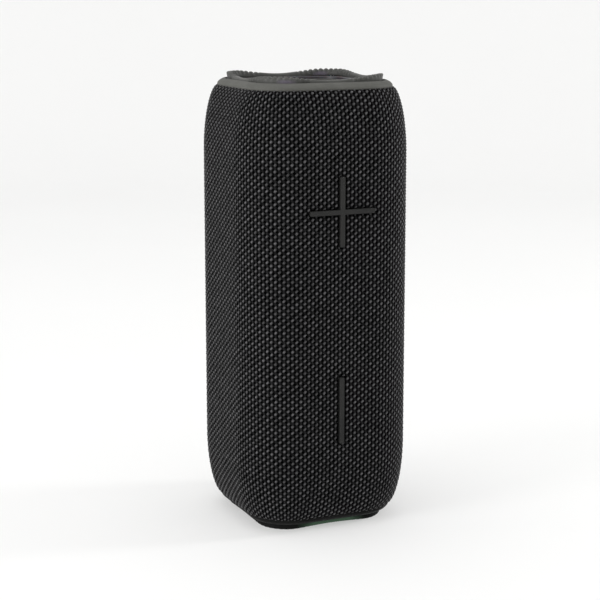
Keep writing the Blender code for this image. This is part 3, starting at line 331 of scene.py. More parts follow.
class Nodes:
    """A material's node tree with short ways to add and link nodes."""

    def __init__(self, name: str) -> None:
        """Makes an empty material with its Principled shader.

        Args:
            name: the material's name.
        """
        self.material = bpy.data.materials.new(name)
        self.material.use_nodes = True
        self.tree = self.material.node_tree
        self.shader = self.tree.nodes["Principled BSDF"]
        self.coordinates = self.tree.nodes.new("ShaderNodeTexCoord")

    def add(self, kind: str, **values: object) -> bpy.types.Node:
        """Adds a node.

        Args:
            kind: its type without the ShaderNode prefix.
            values: node properties, or input values where the name is an input with underscores.

        Returns:
            The node.
        """
        node = self.tree.nodes.new(f"ShaderNode{kind}")
        sockets = {socket.name.replace(" ", "_"): socket for socket in node.inputs}
        for name, value in values.items():
            if name in sockets:
                sockets[name].default_value = value
            else:
                setattr(node, name, value)
        return node

    def link(self, start: bpy.types.NodeSocket, end: bpy.types.NodeSocket) -> None:
        """Links two sockets."""
        self.tree.links.new(start, end)

    def feed(self, name: str, start: bpy.types.NodeSocket) -> None:
        """Links a socket to the shader's input of a name."""
        self.link(start, self.shader.inputs[name])

    def place(self, scale: Colour, source: str = "Object") -> bpy.types.NodeSocket:
        """Coordinates times a scale.

        Args:
            scale: factors along the three axes.
            source: output of the Texture Coordinate node.

        Returns:
            The vector socket.
        """
        mapping = self.add("Mapping", Scale=scale)
        self.link(self.coordinates.outputs[source], mapping.inputs["Vector"])
        return mapping.outputs["Vector"]

    def noise(
        self, scale: float, detail: float, at: bpy.types.NodeSocket | None = None
    ) -> bpy.types.NodeSocket:
        """Fractal noise.

        Args:
            scale: cells per metre of the coordinates.
            detail: octaves.
            at: vector to read it at, object coordinates if none.

        Returns:
            Its value socket.
        """
        made = self.add("TexNoise", Scale=scale, Detail=detail, Roughness=0.6)
        self.link(at or self.coordinates.outputs["Object"], made.inputs["Vector"])
        return made.outputs["Fac"]

    def blend(self, factor: bpy.types.NodeSocket, low: Colour, high: Colour) -> bpy.types.NodeSocket:
        """A colour between two by a noise.

        Args:
            factor: up to NOISE_LOW for low, from NOISE_HIGH for high.
            low: first colour.
            high: second colour.

        Returns:
            The colour socket.
        """
        return self.ramp(factor, (NOISE_LOW, low), (NOISE_HIGH, high))

    def ramp(
        self, factor: bpy.types.NodeSocket, *stops: tuple[float, Colour]
    ) -> bpy.types.NodeSocket:
        """A colour along a ramp by a factor.

        Args:
            factor: place along the ramp.
            stops: two or more (place, colour) pairs in rising order.

        Returns:
            The colour socket.
        """
        made = self.add("ValToRGB")
        elements = made.color_ramp.elements
        while len(elements) < len(stops):
            elements.new(0.5)
        for element, (place, colour) in zip(elements, stops):
            element.position = place
            element.color = (*colour, 1)
        self.link(factor, made.inputs["Fac"])
        return made.outputs["Color"]

    def spread(
        self,
        factor: bpy.types.NodeSocket,
        low: float,
        high: float,
        start: float = NOISE_LOW,
        stop: float = NOISE_HIGH,
    ) -> bpy.types.NodeSocket:
        """A value between two by a factor.

        Args:
            factor: what it follows.
            low: value up to start.
            high: value from stop on.
            start: factor that gives low.
            stop: factor that gives high.

        Returns:
            The value socket.
        """
        made = self.add("MapRange")
        made.inputs["From Min"].default_value = start
        made.inputs["From Max"].default_value = stop
        made.inputs["To Min"].default_value = low
        made.inputs["To Max"].default_value = high
        self.link(factor, made.inputs["Value"])
        return made.outputs["Result"]

    def bump(self, height: bpy.types.NodeSocket, depth: float, strength: float) -> None:
        """Bumps the shader's normal, after any bump that it has.

        Args:
            height: relief, 0 to 1.
            depth: the relief's depth in metres.
            strength: share of it.
        """
        made = self.add("Bump", Distance=depth, Strength=strength)
        self.link(height, made.inputs["Height"])
        earlier = self.shader.inputs["Normal"].links
        if earlier:
            self.link(earlier[0].from_socket, made.inputs["Normal"])
        self.link(made.outputs["Normal"], self.shader.inputs["Normal"])

    def set(self, **values: object) -> None:
        """Sets the shader's own sockets, named with underscores for spaces."""
        for name, value in values.items():
            self.shader.inputs[name.replace("_", " ")].default_value = value


@dataclass(frozen=True)
class Moulded:
    """Moulded rubber or plastic: fine sparked texture, slow mottling and a little uneven gloss."""

    name: str
    low: Colour
    high: Colour
    roughness: tuple[float, float] = (0.55, 0.7)
    grain: float = 4500.0
    grain_depth: float = 0.00003
    specular: float = 0.35

    def make(self) -> bpy.types.Material:
        """The finish as a material.

        Returns:
            The new material.
        """
        nodes = Nodes(self.name)
        cloud = nodes.noise(90, 5)
        nodes.feed("Base Color", nodes.blend(cloud, self.low, self.high))
        nodes.feed("Roughness", nodes.spread(nodes.noise(260, 4), *self.roughness))
        nodes.set(Specular_IOR_Level=self.specular)
        nodes.bump(nodes.noise(self.grain, 2), self.grain_depth, 0.6)
        return nodes.material


@dataclass(frozen=True)
class GlowPaintedRubber:
    """Bumper rubber with the light ring's glow painted in where the "glow" attribute says so."""

    name: str
    low: Colour
    high: Colour
    painted_glow: Colour
    specular: float = 0.3

    def make(self) -> bpy.types.Material:
        """The finish as a material.

        Returns:
            The new material.
        """
        nodes = Nodes(self.name)
        glow = nodes.add("Attribute", attribute_name="glow")
        mix = nodes.add("Mix", data_type="RGBA")
        colours = [socket for socket in mix.inputs if socket.type == "RGBA"]
        colours[1].default_value = (*self.painted_glow, 1)
        nodes.link(nodes.blend(nodes.noise(110, 5), self.low, self.high), colours[0])
        nodes.link(glow.outputs["Fac"], mix.inputs["Factor"])
        result = [socket for socket in mix.outputs if socket.type == "RGBA"][0]
        nodes.feed("Base Color", result)
        nodes.feed("Roughness", nodes.spread(nodes.noise(300, 4), 0.42, 0.6))
        nodes.set(Specular_IOR_Level=self.specular)
        nodes.bump(nodes.noise(4200, 2), 0.00003, 0.6)
        return nodes.material


@dataclass(frozen=True)
class Metal:
    """Drawn or plated metal: fine lines along an axis, faint stains."""

    name: str
    low: Colour
    high: Colour
    roughness: tuple[float, float] = (0.25, 0.45)
    lines: Colour = (300.0, 6000.0, 300.0)

    def make(self) -> bpy.types.Material:
        """The finish as a material.

        Returns:
            The new material.
        """
        nodes = Nodes(self.name)
        drawn = nodes.noise(1, 3, nodes.place(self.lines))
        nodes.feed("Base Color", nodes.blend(nodes.noise(140, 4), self.low, self.high))
        nodes.feed("Roughness", nodes.spread(drawn, *self.roughness))
        nodes.set(Metallic=1.0)
        nodes.bump(drawn, 0.00001, 0.4)
        return nodes.material


@dataclass(frozen=True)
class Diffuser:
    """Smoky plastic that spreads the light of the ring under it."""

    name: str
    colour: Colour
    glow: Colour
    strength: float

    def make(self) -> bpy.types.Material:
        """The finish as a material.

        Returns:
            The new material.
        """
        nodes = Nodes(self.name)
        high = tuple(min(1.0, value * 1.08) for value in self.colour)
        nodes.feed("Base Color", nodes.blend(nodes.noise(120, 3), self.colour, high))
        nodes.set(Roughness=0.38, Subsurface_Weight=0.3, Subsurface_Scale=0.002)
        nodes.set(Emission_Color=(*self.glow, 1), Emission_Strength=self.strength)
        nodes.bump(nodes.noise(3000, 2), 0.00002, 0.5)
        return nodes.material


@dataclass(frozen=True)
class Board:
    """Glass-epoxy board: weave under green lacquer, with copper runs a shade lighter."""

    name: str
    lacquer: Colour
    runs: Colour

    def make(self) -> bpy.types.Material:
        """The finish as a material.

        Returns:
            The new material.
        """
        nodes = Nodes(self.name)
        brick = nodes.add("TexBrick", Scale=260.0, Mortar_Size=0.09, Bias=-0.3)
        brick.inputs["Color1"].default_value = (*self.lacquer, 1)
        brick.inputs["Color2"].default_value = tuple(value * 0.85 for value in self.lacquer) + (1,)
        brick.inputs["Mortar"].default_value = (*self.runs, 1)
        nodes.link(nodes.place((1.0, 1.0, 1.0)), brick.inputs["Vector"])
        nodes.feed("Base Color", brick.outputs["Color"])
        nodes.set(Roughness=0.38, Coat_Weight=0.4, Coat_Roughness=0.25)
        nodes.bump(brick.outputs["Fac"], 0.00003, 0.5)
        return nodes.material


@dataclass(frozen=True)
class Fibrous:
    """Pressed paper, foam or doped cloth: flecks and an open, bumpy surface."""

    name: str
    low: Colour
    high: Colour
    cells: float = 2200.0
    depth: float = 0.0001
    roughness: float = 0.9

    def make(self) -> bpy.types.Material:
        """The finish as a material.

        Returns:
            The new material.
        """
        nodes = Nodes(self.name)
        pits = nodes.add("TexVoronoi", Scale=self.cells)
        nodes.link(nodes.coordinates.outputs["Object"], pits.inputs["Vector"])
        nodes.feed("Base Color", nodes.blend(nodes.noise(900, 5), self.low, self.high))
        nodes.set(Roughness=self.roughness, Specular_IOR_Level=0.2)
        nodes.bump(pits.outputs["Distance"], self.depth, 0.7)
        return nodes.material


@dataclass(frozen=True)
class Woven:
    """Yarn of the cover, on the piece's own attributes and UV map.

    "crown" runs from 0 in the pits of the weave to 1 on top of a yarn; its ramp paints shade into the
    pits and flanks and a painted highlight on the crowns. "yarn" is a number for each knuckle that varies
    its shade; fibres run along the yarns.
    """

    name: str
    pit_shade: Colour
    flank: Colour
    top: Colour

    def make(self) -> bpy.types.Material:
        """The finish as a material.

        Returns:
            The new material.
        """
        nodes = Nodes(self.name)
        crown = nodes.add("Attribute", attribute_name="crown")
        yarn = nodes.add("Attribute", attribute_name="yarn")
        # The ramp is painted light: painted shade in the pits and flanks, a painted highlight on the crowns.
        stops = ((0.36, self.pit_shade), (0.66, self.flank), (0.95, self.top))
        shade = nodes.add("HueSaturation", Saturation=0.95)
        nodes.link(nodes.spread(yarn.outputs["Fac"], 0.55, 1.6, 0.0, 1.0), shade.inputs["Value"])
        nodes.link(nodes.ramp(crown.outputs["Fac"], *stops), shade.inputs["Color"])
        nodes.feed("Base Color", shade.outputs["Color"])
        fibres = nodes.noise(1, 3, nodes.place((260.0, 1900.0, 1.0), "UV"))
        nodes.feed("Roughness", nodes.spread(fibres, 0.34, 0.52))
        nodes.feed("Specular IOR Level", nodes.spread(crown.outputs["Fac"], 0.0, 0.45, 0.5, 1.0))
        nodes.bump(fibres, 0.00012, 0.7)
        return nodes.material


# Yarn ramp colours: pit and flank are painted shade, top is a painted highlight.
YARN_WITH_PAINTED_SHADE = ((0.0006, 0.0006, 0.0007), (0.0105, 0.0105, 0.011), (0.056, 0.054, 0.057))
# Bumper rubber low and high colours, then the light ring's purple glow, painted onto the top bumper.
GREY_RUBBER_AND_PAINTED_GLOW = ((0.054, 0.054, 0.051), (0.084, 0.084, 0.078), (0.13, 0.115, 0.145))
CHARCOAL = ((0.019, 0.019, 0.019), (0.027, 0.027, 0.026), (0.5, 0.64))
FINISHES = {
    "woven_fabric": Woven("woven_yarn", *YARN_WITH_PAINTED_SHADE),
    "shell_plastic": Moulded("shell_black", (0.012, 0.012, 0.013), (0.02, 0.02, 0.021), (0.4, 0.55)),
    "lip_rubber": Moulded("lip_olive_grey", (0.07, 0.07, 0.063), (0.093, 0.093, 0.084), (0.6, 0.75)),
    "bumper_rubber": GlowPaintedRubber("bumper_grey", *GREY_RUBBER_AND_PAINTED_GLOW),
    "key_rubber": Moulded("key_charcoal", *CHARCOAL, specular=0.12),
    "light_diffuser": Diffuser("smoky_ring", (0.1, 0.1, 0.105), (0.7, 0.7, 0.7), 0.0),
    "board_green": Board("board_lacquer", (0.012, 0.1, 0.035), (0.05, 0.22, 0.08)),
    "frame_plastic": Moulded("frame_black", (0.014, 0.014, 0.015), (0.024, 0.024, 0.025), (0.35, 0.5)),
    "radiator_rubber": Moulded("surround_black", (0.01, 0.01, 0.01), (0.017, 0.017, 0.017), (0.55, 0.7)),
    "radiator_metal": Metal("satin_plate", (0.3, 0.3, 0.31), (0.42, 0.42, 0.43)),
    "steel": Metal("bright_steel", (0.42, 0.42, 0.43), (0.55, 0.55, 0.56), (0.2, 0.35)),
    "magnet": Metal("dark_plating", (0.09, 0.09, 0.1), (0.15, 0.15, 0.16), (0.35, 0.5)),
    "cone_paper": Fibrous("cone_pulp", (0.018, 0.018, 0.019), (0.045, 0.045, 0.046)),
    "spider_cloth": Fibrous("spider_weave", (0.3, 0.17, 0.05), (0.46, 0.29, 0.1), 1600.0),
    "gasket_foam": Fibrous("gasket_pores", (0.01, 0.01, 0.01), (0.028, 0.028, 0.028), 1300.0, 0.0002),
    "cell_wrap": Moulded("cell_blue", (0.02, 0.1, 0.27), (0.03, 0.14, 0.36), (0.25, 0.4), specular=0.6),
}


class Wardrobe:
    """Makes each finish once and hands it out."""

    def __init__(self) -> None:
        """Starts with nothing made."""
        self.made: dict[str, bpy.types.Material] = {}

    def of(self, slot: str) -> bpy.types.Material:
        """The material of a slot, by the record's name for it."""
        return self.custom(FINISHES[slot])

    def custom(
        self, finish: Moulded | GlowPaintedRubber | Metal | Diffuser | Board | Fibrous | Woven
    ) -> bpy.types.Material:
        """The material of a finish.

        Args:
            finish: the finish, known by its name.

        Returns:
            The material, made the first time.
        """
        if finish.name not in self.made:
            self.made[finish.name] = finish.make()
        return self.made[finish.name]


# The column


@dataclass
class ColumnForm:
    """The column's outside: a rounded square whose sides curve in towards both ends."""

    core_half: float = 15 * MM
    round_length: float = 29.8 * MM
    round_depth: float = 7.8 * MM
    round_share: float = 0.98
    flat_columns: float = 16.5
    corner_columns: float = 21.5
    side_half: float = field(init=False)
    low: float = field(init=False)
    high: float = field(init=False)

    def __post_init__(self) -> None:
        """Takes the outer size from the fabric's box in the frame."""
        low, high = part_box("fabric_sleeve")
        self.side_half, self.low, self.high = high.x, low.z, high.z

    @property
    def middle(self) -> float:
        """Height of the column's middle."""
        return (self.low + self.high) / 2

    @property
    def columns(self) -> int:
        """Columns of the weave round the column."""
        return round(4 * (self.flat_columns + self.corner_columns))

    def edge(self, end: End) -> float:
        """Height of the fabric's edge at an end."""
        return self.high if end is End.TOP else self.low

    def side(self, share: np.ndarray) -> tuple[np.ndarray, np.ndarray, np.ndarray]:
        """Half-width, height and outward normal up the side.

        Between the end curves the half-width is constant. In them it follows a quarter of an
        ellipse: half = side_half - depth (1 - sqrt(1 - c^2)), where c grows from 0 to
        round_share over round_length.

        Args:
            share: -1 at the bottom of the fabric to 1 at its top.

        Returns:
            Half-widths, heights, and normals as (outward, up) pairs.
        """
        length = self.high - self.low
        height = share * length / 2
        into = np.maximum(0, np.abs(height) - (length / 2 - self.round_length))
        curve = into / self.round_length * self.round_share
        drop = np.sqrt(1 - curve**2)
        half = self.side_half - self.round_depth * (1 - drop)
        slope = self.round_depth * self.round_share / self.round_length * curve / drop
        normal = np.stack([np.ones_like(slope), np.sign(share) * slope], -1)
        return half, self.middle + height, normal / np.linalg.norm(normal, axis=-1, keepdims=True)

    def around(self, columns: np.ndarray) -> tuple[np.ndarray, np.ndarray]:
        """Core points and outward directions round the column.

        The core is a square of half-width core_half. A quarter turn is half a flat, where the
        core point slides and the direction holds, then a corner, where the core point holds and
        the direction turns 90 degrees, then half a flat.

        Args:
            columns: places round the column in weave columns, 0 at the middle of the rear.

        Returns:
            Core points (n, 2) and unit directions (n, 2).
        """
        per_quarter = self.flat_columns + self.corner_columns
        quarter = np.floor(columns / per_quarter)
        within = columns - quarter * per_quarter
        start = (quarter + 1) * math.pi / 2
        half_flat = self.flat_columns / 2
        turn = np.clip((within - half_flat) / self.corner_columns, 0, 1)
        slide = np.clip(within / half_flat, 0, 1) * (within <= half_flat)
        left = np.clip((per_quarter - within) / half_flat, 0, 1)
        start_normal = np.stack([np.cos(start), np.sin(start)], -1)
        start_along = np.stack([-np.sin(start), np.cos(start)], -1)
        corner = (start_normal + start_along) * self.core_half
        first = (start_normal + start_along * slide[:, None]) * self.core_half
        last = (start_normal * left[:, None] + start_along) * self.core_half
        core = np.where((within <= half_flat)[:, None], first, corner)
        core = np.where((within > per_quarter - half_flat)[:, None], last, core)
        angle = start + turn * math.pi / 2
        return core, np.stack([np.cos(angle), np.sin(angle)], -1)

    def carried(self, profile: np.ndarray, end: End, columns: np.ndarray) -> Surface:
        """A closed section carried once round the column.

        Its point at half-width h lies at the core point + (h - core_half) times the direction.

        Args:
            profile: (n, 2) half-widths and heights above the fabric's end.
            end: the end it lies at.
            columns: places round the column.

        Returns:
            The closed surface.
        """
        core, direction = self.around(columns)
        flat = core + (profile[:, :1, None] - self.core_half) * direction
        height = np.broadcast_to(self.edge(end) + end.value * profile[:, 1:], flat.shape[:2])
        return swept(np.concatenate([flat, height[..., None]], -1), True)


@dataclass(frozen=True)
class Opening:
    """A hole in the cover: rounded rectangles on one wall, joined."""

    wall: Wall
    height: float
    halves: tuple[tuple[float, float], ...]
    corner: float

    def distance(self, x: np.ndarray, z: np.ndarray) -> np.ndarray:
        """Distance to the hole's edge, negative inside.

        For a rounded rectangle it is |max(q, 0)| + min(max(qx, qz), 0) - corner, where q is the
        point's distance beyond the sides less the corner radius; a joined shape takes the least.

        Args:
            x: across the wall.
            z: up the wall.

        Returns:
            Distances of the same shape.
        """
        least = np.full(np.broadcast(x, z).shape, np.inf)
        for half_x, half_z in self.halves:
            over_x = np.abs(x) - half_x + self.corner
            over_z = np.abs(z - self.height) - half_z + self.corner
            outside = np.hypot(np.maximum(over_x, 0), np.maximum(over_z, 0))
            least = np.minimum(least, outside + np.minimum(np.maximum(over_x, over_z), 0) - self.corner)
        return least

    def slope(self, x: np.ndarray, z: np.ndarray) -> tuple[np.ndarray, np.ndarray]:
        """Direction away from the hole, by central differences of the distance.

        Args:
            x: across the wall.
            z: up the wall.

        Returns:
            The direction's parts along x and z.
        """
        step = 0.02 * MM
        along_x = self.distance(x + step, z) - self.distance(x - step, z)
        along_z = self.distance(x, z + step) - self.distance(x, z - step)
        size = np.maximum(np.hypot(along_x, along_z), 1e-9)
        return along_x / size, along_z / size


@dataclass
class WovenCover:
    """The coarse plain weave stretched round the column, in upright panels."""

    form: ColumnForm
    openings: list[Opening]
    rows: int = 139
    panels: int = 8
    samples_across: int = 5
    samples_up: int = 4
    warp_rise: float = 0.24 * MM
    warp_radius: float = 0.5 * MM
    warp_width: float = 0.4
    warp_slant: float = 0.09
    warp_sway: float = 0.06
    weft_rise: float = 0.12 * MM
    weft_radius: float = 0.38 * MM
    weft_drop: float = 0.06 * MM
    weft_width: float = 0.58
    unevenness: float = 0.04 * MM
    tuck: float = 1.1 * MM
    tuck_reach: float = 0.42 * MM
    end_tuck: float = 0.9 * MM
    end_tuck_reach: float = 0.7 * MM
    seam_depth: float = 0.35 * MM
    seam_half: float = 0.45
    mend_reach: float = 0.6 * MM
    flat_facing: float = 0.999

    def path(self) -> tuple[np.ndarray, float]:
        """Places up the side at equal steps along its length.

        Returns:
            The places as shares of the height, and the side's length.
        """
        share = np.linspace(-1, 1, 4001)
        half, height, _ = self.form.side(share)
        travelled = np.concatenate([[0], np.cumsum(np.hypot(np.diff(half), np.diff(height)))])
        wanted = np.linspace(0, travelled[-1], self.rows * self.samples_up + 1)
        return np.interp(wanted, travelled, share), float(travelled[-1])

    def relief(self, across: np.ndarray, up: np.ndarray) -> tuple[np.ndarray, np.ndarray, np.ndarray]:
        """The weave's height below its crowns.

        A warp yarn of column i rises and dives as cos(pi (V - 1/2)), its sign changing from
        column to column, and is round across U about a line that slants by warp_slant
        sin(pi (V - 1/2)) and sways slowly; a weft yarn of row j does the opposite and is round
        across V. The surface is the higher of the two, less up to unevenness by the knuckle's
        number, which is the fraction of 43758.5453 sin(12.9898 i + 78.233 j + 37.719 on a warp).

        Args:
            across: places in columns, U.
            up: places in rows, V.

        Returns:
            Depth (0 on the highest crown, negative below), the crown share, and a number from 0
            to 1 for each knuckle.
        """
        column, row = np.floor(across), np.floor(up)
        side = 1 - 2 * (column % 2)
        slanted = self.warp_slant * np.sin(math.pi * (up - 0.5)) * side
        swayed = self.warp_sway * np.sin(up * 2.3 + 40 * np.sin(column * 12.9898))
        off_column, off_row = across - column - 0.5 - slanted - swayed, up - row - 0.5
        warp = self.warp_rise * np.cos(math.pi * (up - 0.5)) * side
        round_warp = np.minimum(np.abs(off_column) / self.warp_width, 1)
        warp = warp + self.warp_radius * np.sqrt(1 - round_warp**2)
        weft = -self.weft_rise * np.cos(math.pi * (across - 0.5)) * (1 - 2 * (row % 2))
        round_weft = np.minimum(np.abs(off_row) / self.weft_width, 1)
        weft = weft + self.weft_radius * np.sqrt(1 - round_weft**2) - self.weft_drop
        over = np.maximum(warp, weft)
        top = self.warp_rise + self.warp_radius
        crown = np.clip(over / top, 0, 1)
        seed = np.sin(column * 12.9898 + row * 78.233 + (warp >= weft) * 37.719) * 43758.5453
        yarn = seed - np.floor(seed)
        return over - top - (1 - yarn) * self.unevenness * crown, crown, yarn

    def panel(self, number: int) -> tuple[Surface, dict[str, np.ndarray]]:
        """One upright panel of the cover.

        Each point of a regular grid over the panel moves along the column's normal by the
        weave's relief. Near an opening's edge and at both ends the cover turns in by
        tuck exp(-distance / tuck_reach), with end_tuck and end_tuck_reach at the ends, and at the
        rear seam it sinks by seam_depth exp(-(columns away / seam_half)^2). Faces inside an
        opening are left out, and points less than mend_reach inside are moved out to its edge.

        Args:
            number: of the panel, from 0.

        Returns:
            The surface, and its crown, yarn and uv arrays, one value for each point.
        """
        wide = self.form.columns // self.panels
        across = number * wide + np.linspace(0, wide, wide * self.samples_across + 1)
        share, length = self.path()
        up = np.linspace(0, self.rows, len(share))
        half, height, normal = self.form.side(share)
        core, direction = self.form.around(across)
        flat = core[None] + (half[:, None, None] - self.form.core_half) * direction[None]
        x, y = flat[..., 0], flat[..., 1]
        z = np.broadcast_to(height[:, None], x.shape).copy()
        edge = np.full(x.shape, np.inf)
        for opening in self.openings:
            on_wall = (np.sign(y) == opening.wall.value) & (np.abs(direction[None, :, 1]) > self.flat_facing)
            distance = np.where(on_wall, opening.distance(x, z), np.inf)
            slope_x, slope_z = opening.slope(x, z)
            inside = (distance < 0) & (distance > -self.mend_reach)
            x = np.where(inside, x - distance * slope_x, x)
            z = np.where(inside, z - distance * slope_z, z)
            edge = np.minimum(edge, distance)
        depth, crown, yarn = self.relief(across[None, :], up[:, None])
        reach = np.maximum(edge, 0)
        end_reach = np.minimum(up, self.rows - up)[:, None] * length / self.rows
        turned_in = self.tuck * np.exp(-reach / self.tuck_reach)
        turned_in = turned_in + self.end_tuck * np.exp(-end_reach / self.end_tuck_reach)
        from_seam = np.minimum(across, self.form.columns - across)[None, :]
        turned_in = turned_in + self.seam_depth * np.exp(-((from_seam / self.seam_half) ** 2))
        moved = depth - turned_in
        points = np.stack(
            [
                x + moved * normal[:, None, 0] * direction[None, :, 0],
                y + moved * normal[:, None, 0] * direction[None, :, 1],
                z + moved * normal[:, None, 1],
            ],
            -1,
        )
        quads = grid_quads(*x.shape, False, False)
        quads = quads[edge.ravel()[quads].mean(axis=1) > 0]
        used, renumbered = np.unique(quads, return_inverse=True)
        uv = np.stack(np.broadcast_arrays(across[None, :], up[:, None]), -1) / 100
        facts = {"crown": crown, "yarn": np.broadcast_to(yarn, crown.shape)}
        facts = {name: value.reshape(-1)[used] for name, value in facts.items()}
        facts["uv"] = uv.reshape(-1, 2)[used]
        return Surface(points.reshape(-1, 3)[used], [renumbered.reshape(quads.shape)]), facts

    def build(self, wardrobe: Wardrobe) -> list[bpy.types.Object]:
        """Builds, dresses and declares every panel.

        Args:
            wardrobe: where its finish comes from.

        Returns:
            The panels.
        """
        made = []
        _, length = self.path()
        for number in range(self.panels):
            surface, facts = self.panel(number)
            obj = surface.piece(f"woven_cover_{number + 1}", wardrobe.of("woven_fabric"))
            for name in ("crown", "yarn"):
                attribute = obj.data.attributes.new(name, "FLOAT", "POINT")
                attribute.data.foreach_set("value", facts[name].astype(np.float32))
            corner = np.zeros(len(obj.data.loops), np.int32)
            obj.data.loops.foreach_get("vertex_index", corner)
            layer = obj.data.uv_layers.new(name="weave")
            layer.data.foreach_set("uv", facts["uv"][corner].astype(np.float32).ravel())
            declared(obj, "cabinet", "fabric_sleeve")
            made.append(obj)
        return made


# The ends


@dataclass
class EndTrim:
    """Lip ring, wavy bumper, light ring and radiator of one end, in heights above the fabric's end."""

    form: ColumnForm
    end: End
    bumper_outer: float = 30.05 * MM
    bumper_inner: float = 26.95 * MM
    bumper_steps: int = 1216
    path_inset: float = 1.5 * MM
    trough: float = 3.0 * MM
    crest: float = 4.9 * MM
    under_low: float = 0.7 * MM
    under_high: float = 1.9 * MM
    flattening: float = 1.12
    ridge_pitch: float = 2.4 * MM
    ridge_depth: float = 0.55 * MM
    ridge_narrowing: float = 0.8 * MM
    ridge_start: float = 0.25
    ridge_spread: float = 0.25
    ridge_sharpness: float = 1.5
    foot_trough: float = 4.0 * MM
    foot_ridging: float = 0.1
    lean: float = 0.45 * MM
    hollow: float = 0.9 * MM
    light_outer: float = 26.45 * MM
    light_inner: float = 24.5 * MM
    surround_half: float = 22.6 * MM
    bore_half: float = 22.9 * MM
    square_corner: float = 5 * MM
    square_growth: float = 2.9 * MM
    roll_outer: float = 20.6 * MM
    roll_inner: float = 15.6 * MM
    surround_inner: float = 13.6 * MM
    surround_low: float = -4.6 * MM
    surround_thickness: float = 0.8 * MM
    roll_rise: float = 2.2 * MM

    @property
    def word(self) -> str:
        """The end's name in piece names."""
        return self.end.name.lower()

    def mark_glow(self, obj: bpy.types.Object, glow: np.ndarray) -> None:
        """Writes the share of painted glow for each point of a piece."""
        attribute = obj.data.attributes.new("glow", "FLOAT", "POINT")
        attribute.data.foreach_set("value", glow.astype(np.float32).ravel())

    def steps(self, per_corner: int = 22) -> np.ndarray:
        """Places round the column: equal steps over each corner, and fewer along each flat.

        Args:
            per_corner: steps over a corner.

        Returns:
            The places, in weave columns.
        """
        corner = np.linspace(0, 1, per_corner + 1) * self.form.corner_columns
        flat = self.form.corner_columns + np.arange(1, 12) / 12 * self.form.flat_columns
        quarter = np.arange(4)[:, None] * (self.form.flat_columns + self.form.corner_columns)
        places = quarter + self.form.flat_columns / 2 + np.concatenate([corner, flat])[None, :]
        return places.ravel() % self.form.columns

    def share(self, columns: np.ndarray) -> tuple[np.ndarray, float]:
        """Share of a quarter turn from a corner's middle, by length along the bumper.

        Args:
            columns: places round the column.

        Returns:
            The shares, and a quarter's length.
        """
        form = self.form
        arc = (self.bumper_outer - self.path_inset - form.core_half) * math.pi / 2
        stops = np.cumsum([0, form.flat_columns / 2, form.corner_columns, form.flat_columns / 2])
        lengths = np.cumsum([0, form.core_half, arc, form.core_half])
        return np.interp(columns % stops[-1], stops, lengths) / lengths[-1] - 0.5, float(lengths[-1])

    def green(self, columns: np.ndarray) -> np.ndarray:
        """Share of the light ring's green glow painted onto the foot's rubber, in the troughs of the front.

        With s the share of a quarter turn, it is 2.2 (0.22 - cos(2 pi s) / 2), held between 0
        and 1, and it fades out where the wall turns away from the front.

        Args:
            columns: places round the column.

        Returns:
            The shares.
        """
        share, _ = self.share(columns)
        _, direction = self.form.around(columns)
        front = np.clip(-direction[:, 1] * 3 - 2, 0, 1)
        return np.clip((0.72 - 0.5 - 0.5 * np.cos(2 * math.pi * share)) * 2.2, 0, 1) * front

    def foot(self, name: str, low: float) -> GlowPaintedRubber:
        """The lower end's rubber: near-black as painted shade by the floor, with the ring's green glow
        painted in.
        """
        # The low colour is painted shade near the floor; the green is the light ring's painted glow.
        return GlowPaintedRubber(name, (low, low, low * 0.95), (low * 1.5,) * 3, (0.06, 0.105, 0.068), 0.05)

    def lip(self, wardrobe: Wardrobe) -> bpy.types.Object:
        """The lip ring, one section carried round the column.

        From outside in, the section is a soft bevel from the fabric's edge, the bumper's groove,
        the light's pocket and the bore.

        Args:
            wardrobe: where its finish comes from.

        Returns:
            The ring.
        """
        corners = np.array(
            [
                (33.62, -0.5),
                (33.5, 0.35),
                (32.6, 1.35),
                (30.9, 2.2),
                (30.35, 2.05),
                (30.35, 0.4),
                (26.65, 0.4),
                (26.65, -3.0),
                (24.2, -3.0),
                (24.2, 0.4),
                (22.9, 0.4),
                (22.9, -4.6),
                (32.0, -4.6),
            ]
        )
        radii = np.array([0.1, 0.35, 0.6, 0.25, 0.1, 0.1, 0.12, 0.1, 0.1, 0.25, 0.25, 0.15, 0.3])
        profile = filleted(corners * MM, radii * MM)
        columns = self.steps()
        surface = self.form.carried(profile, self.end, columns)
        lower = self.end is End.BOTTOM
        # The lower lip is made near-black as painted shade by the floor, with no painted glow.
        finish = wardrobe.custom(self.foot("lip_black", 0.006)) if lower else wardrobe.of("lip_rubber")
        obj = surface.piece(f"lip_ring_{self.word}", finish)
        self.mark_glow(obj, np.zeros((len(profile), len(columns))))
        return declared(obj, "cabinet", f"end_ring_{self.word}")

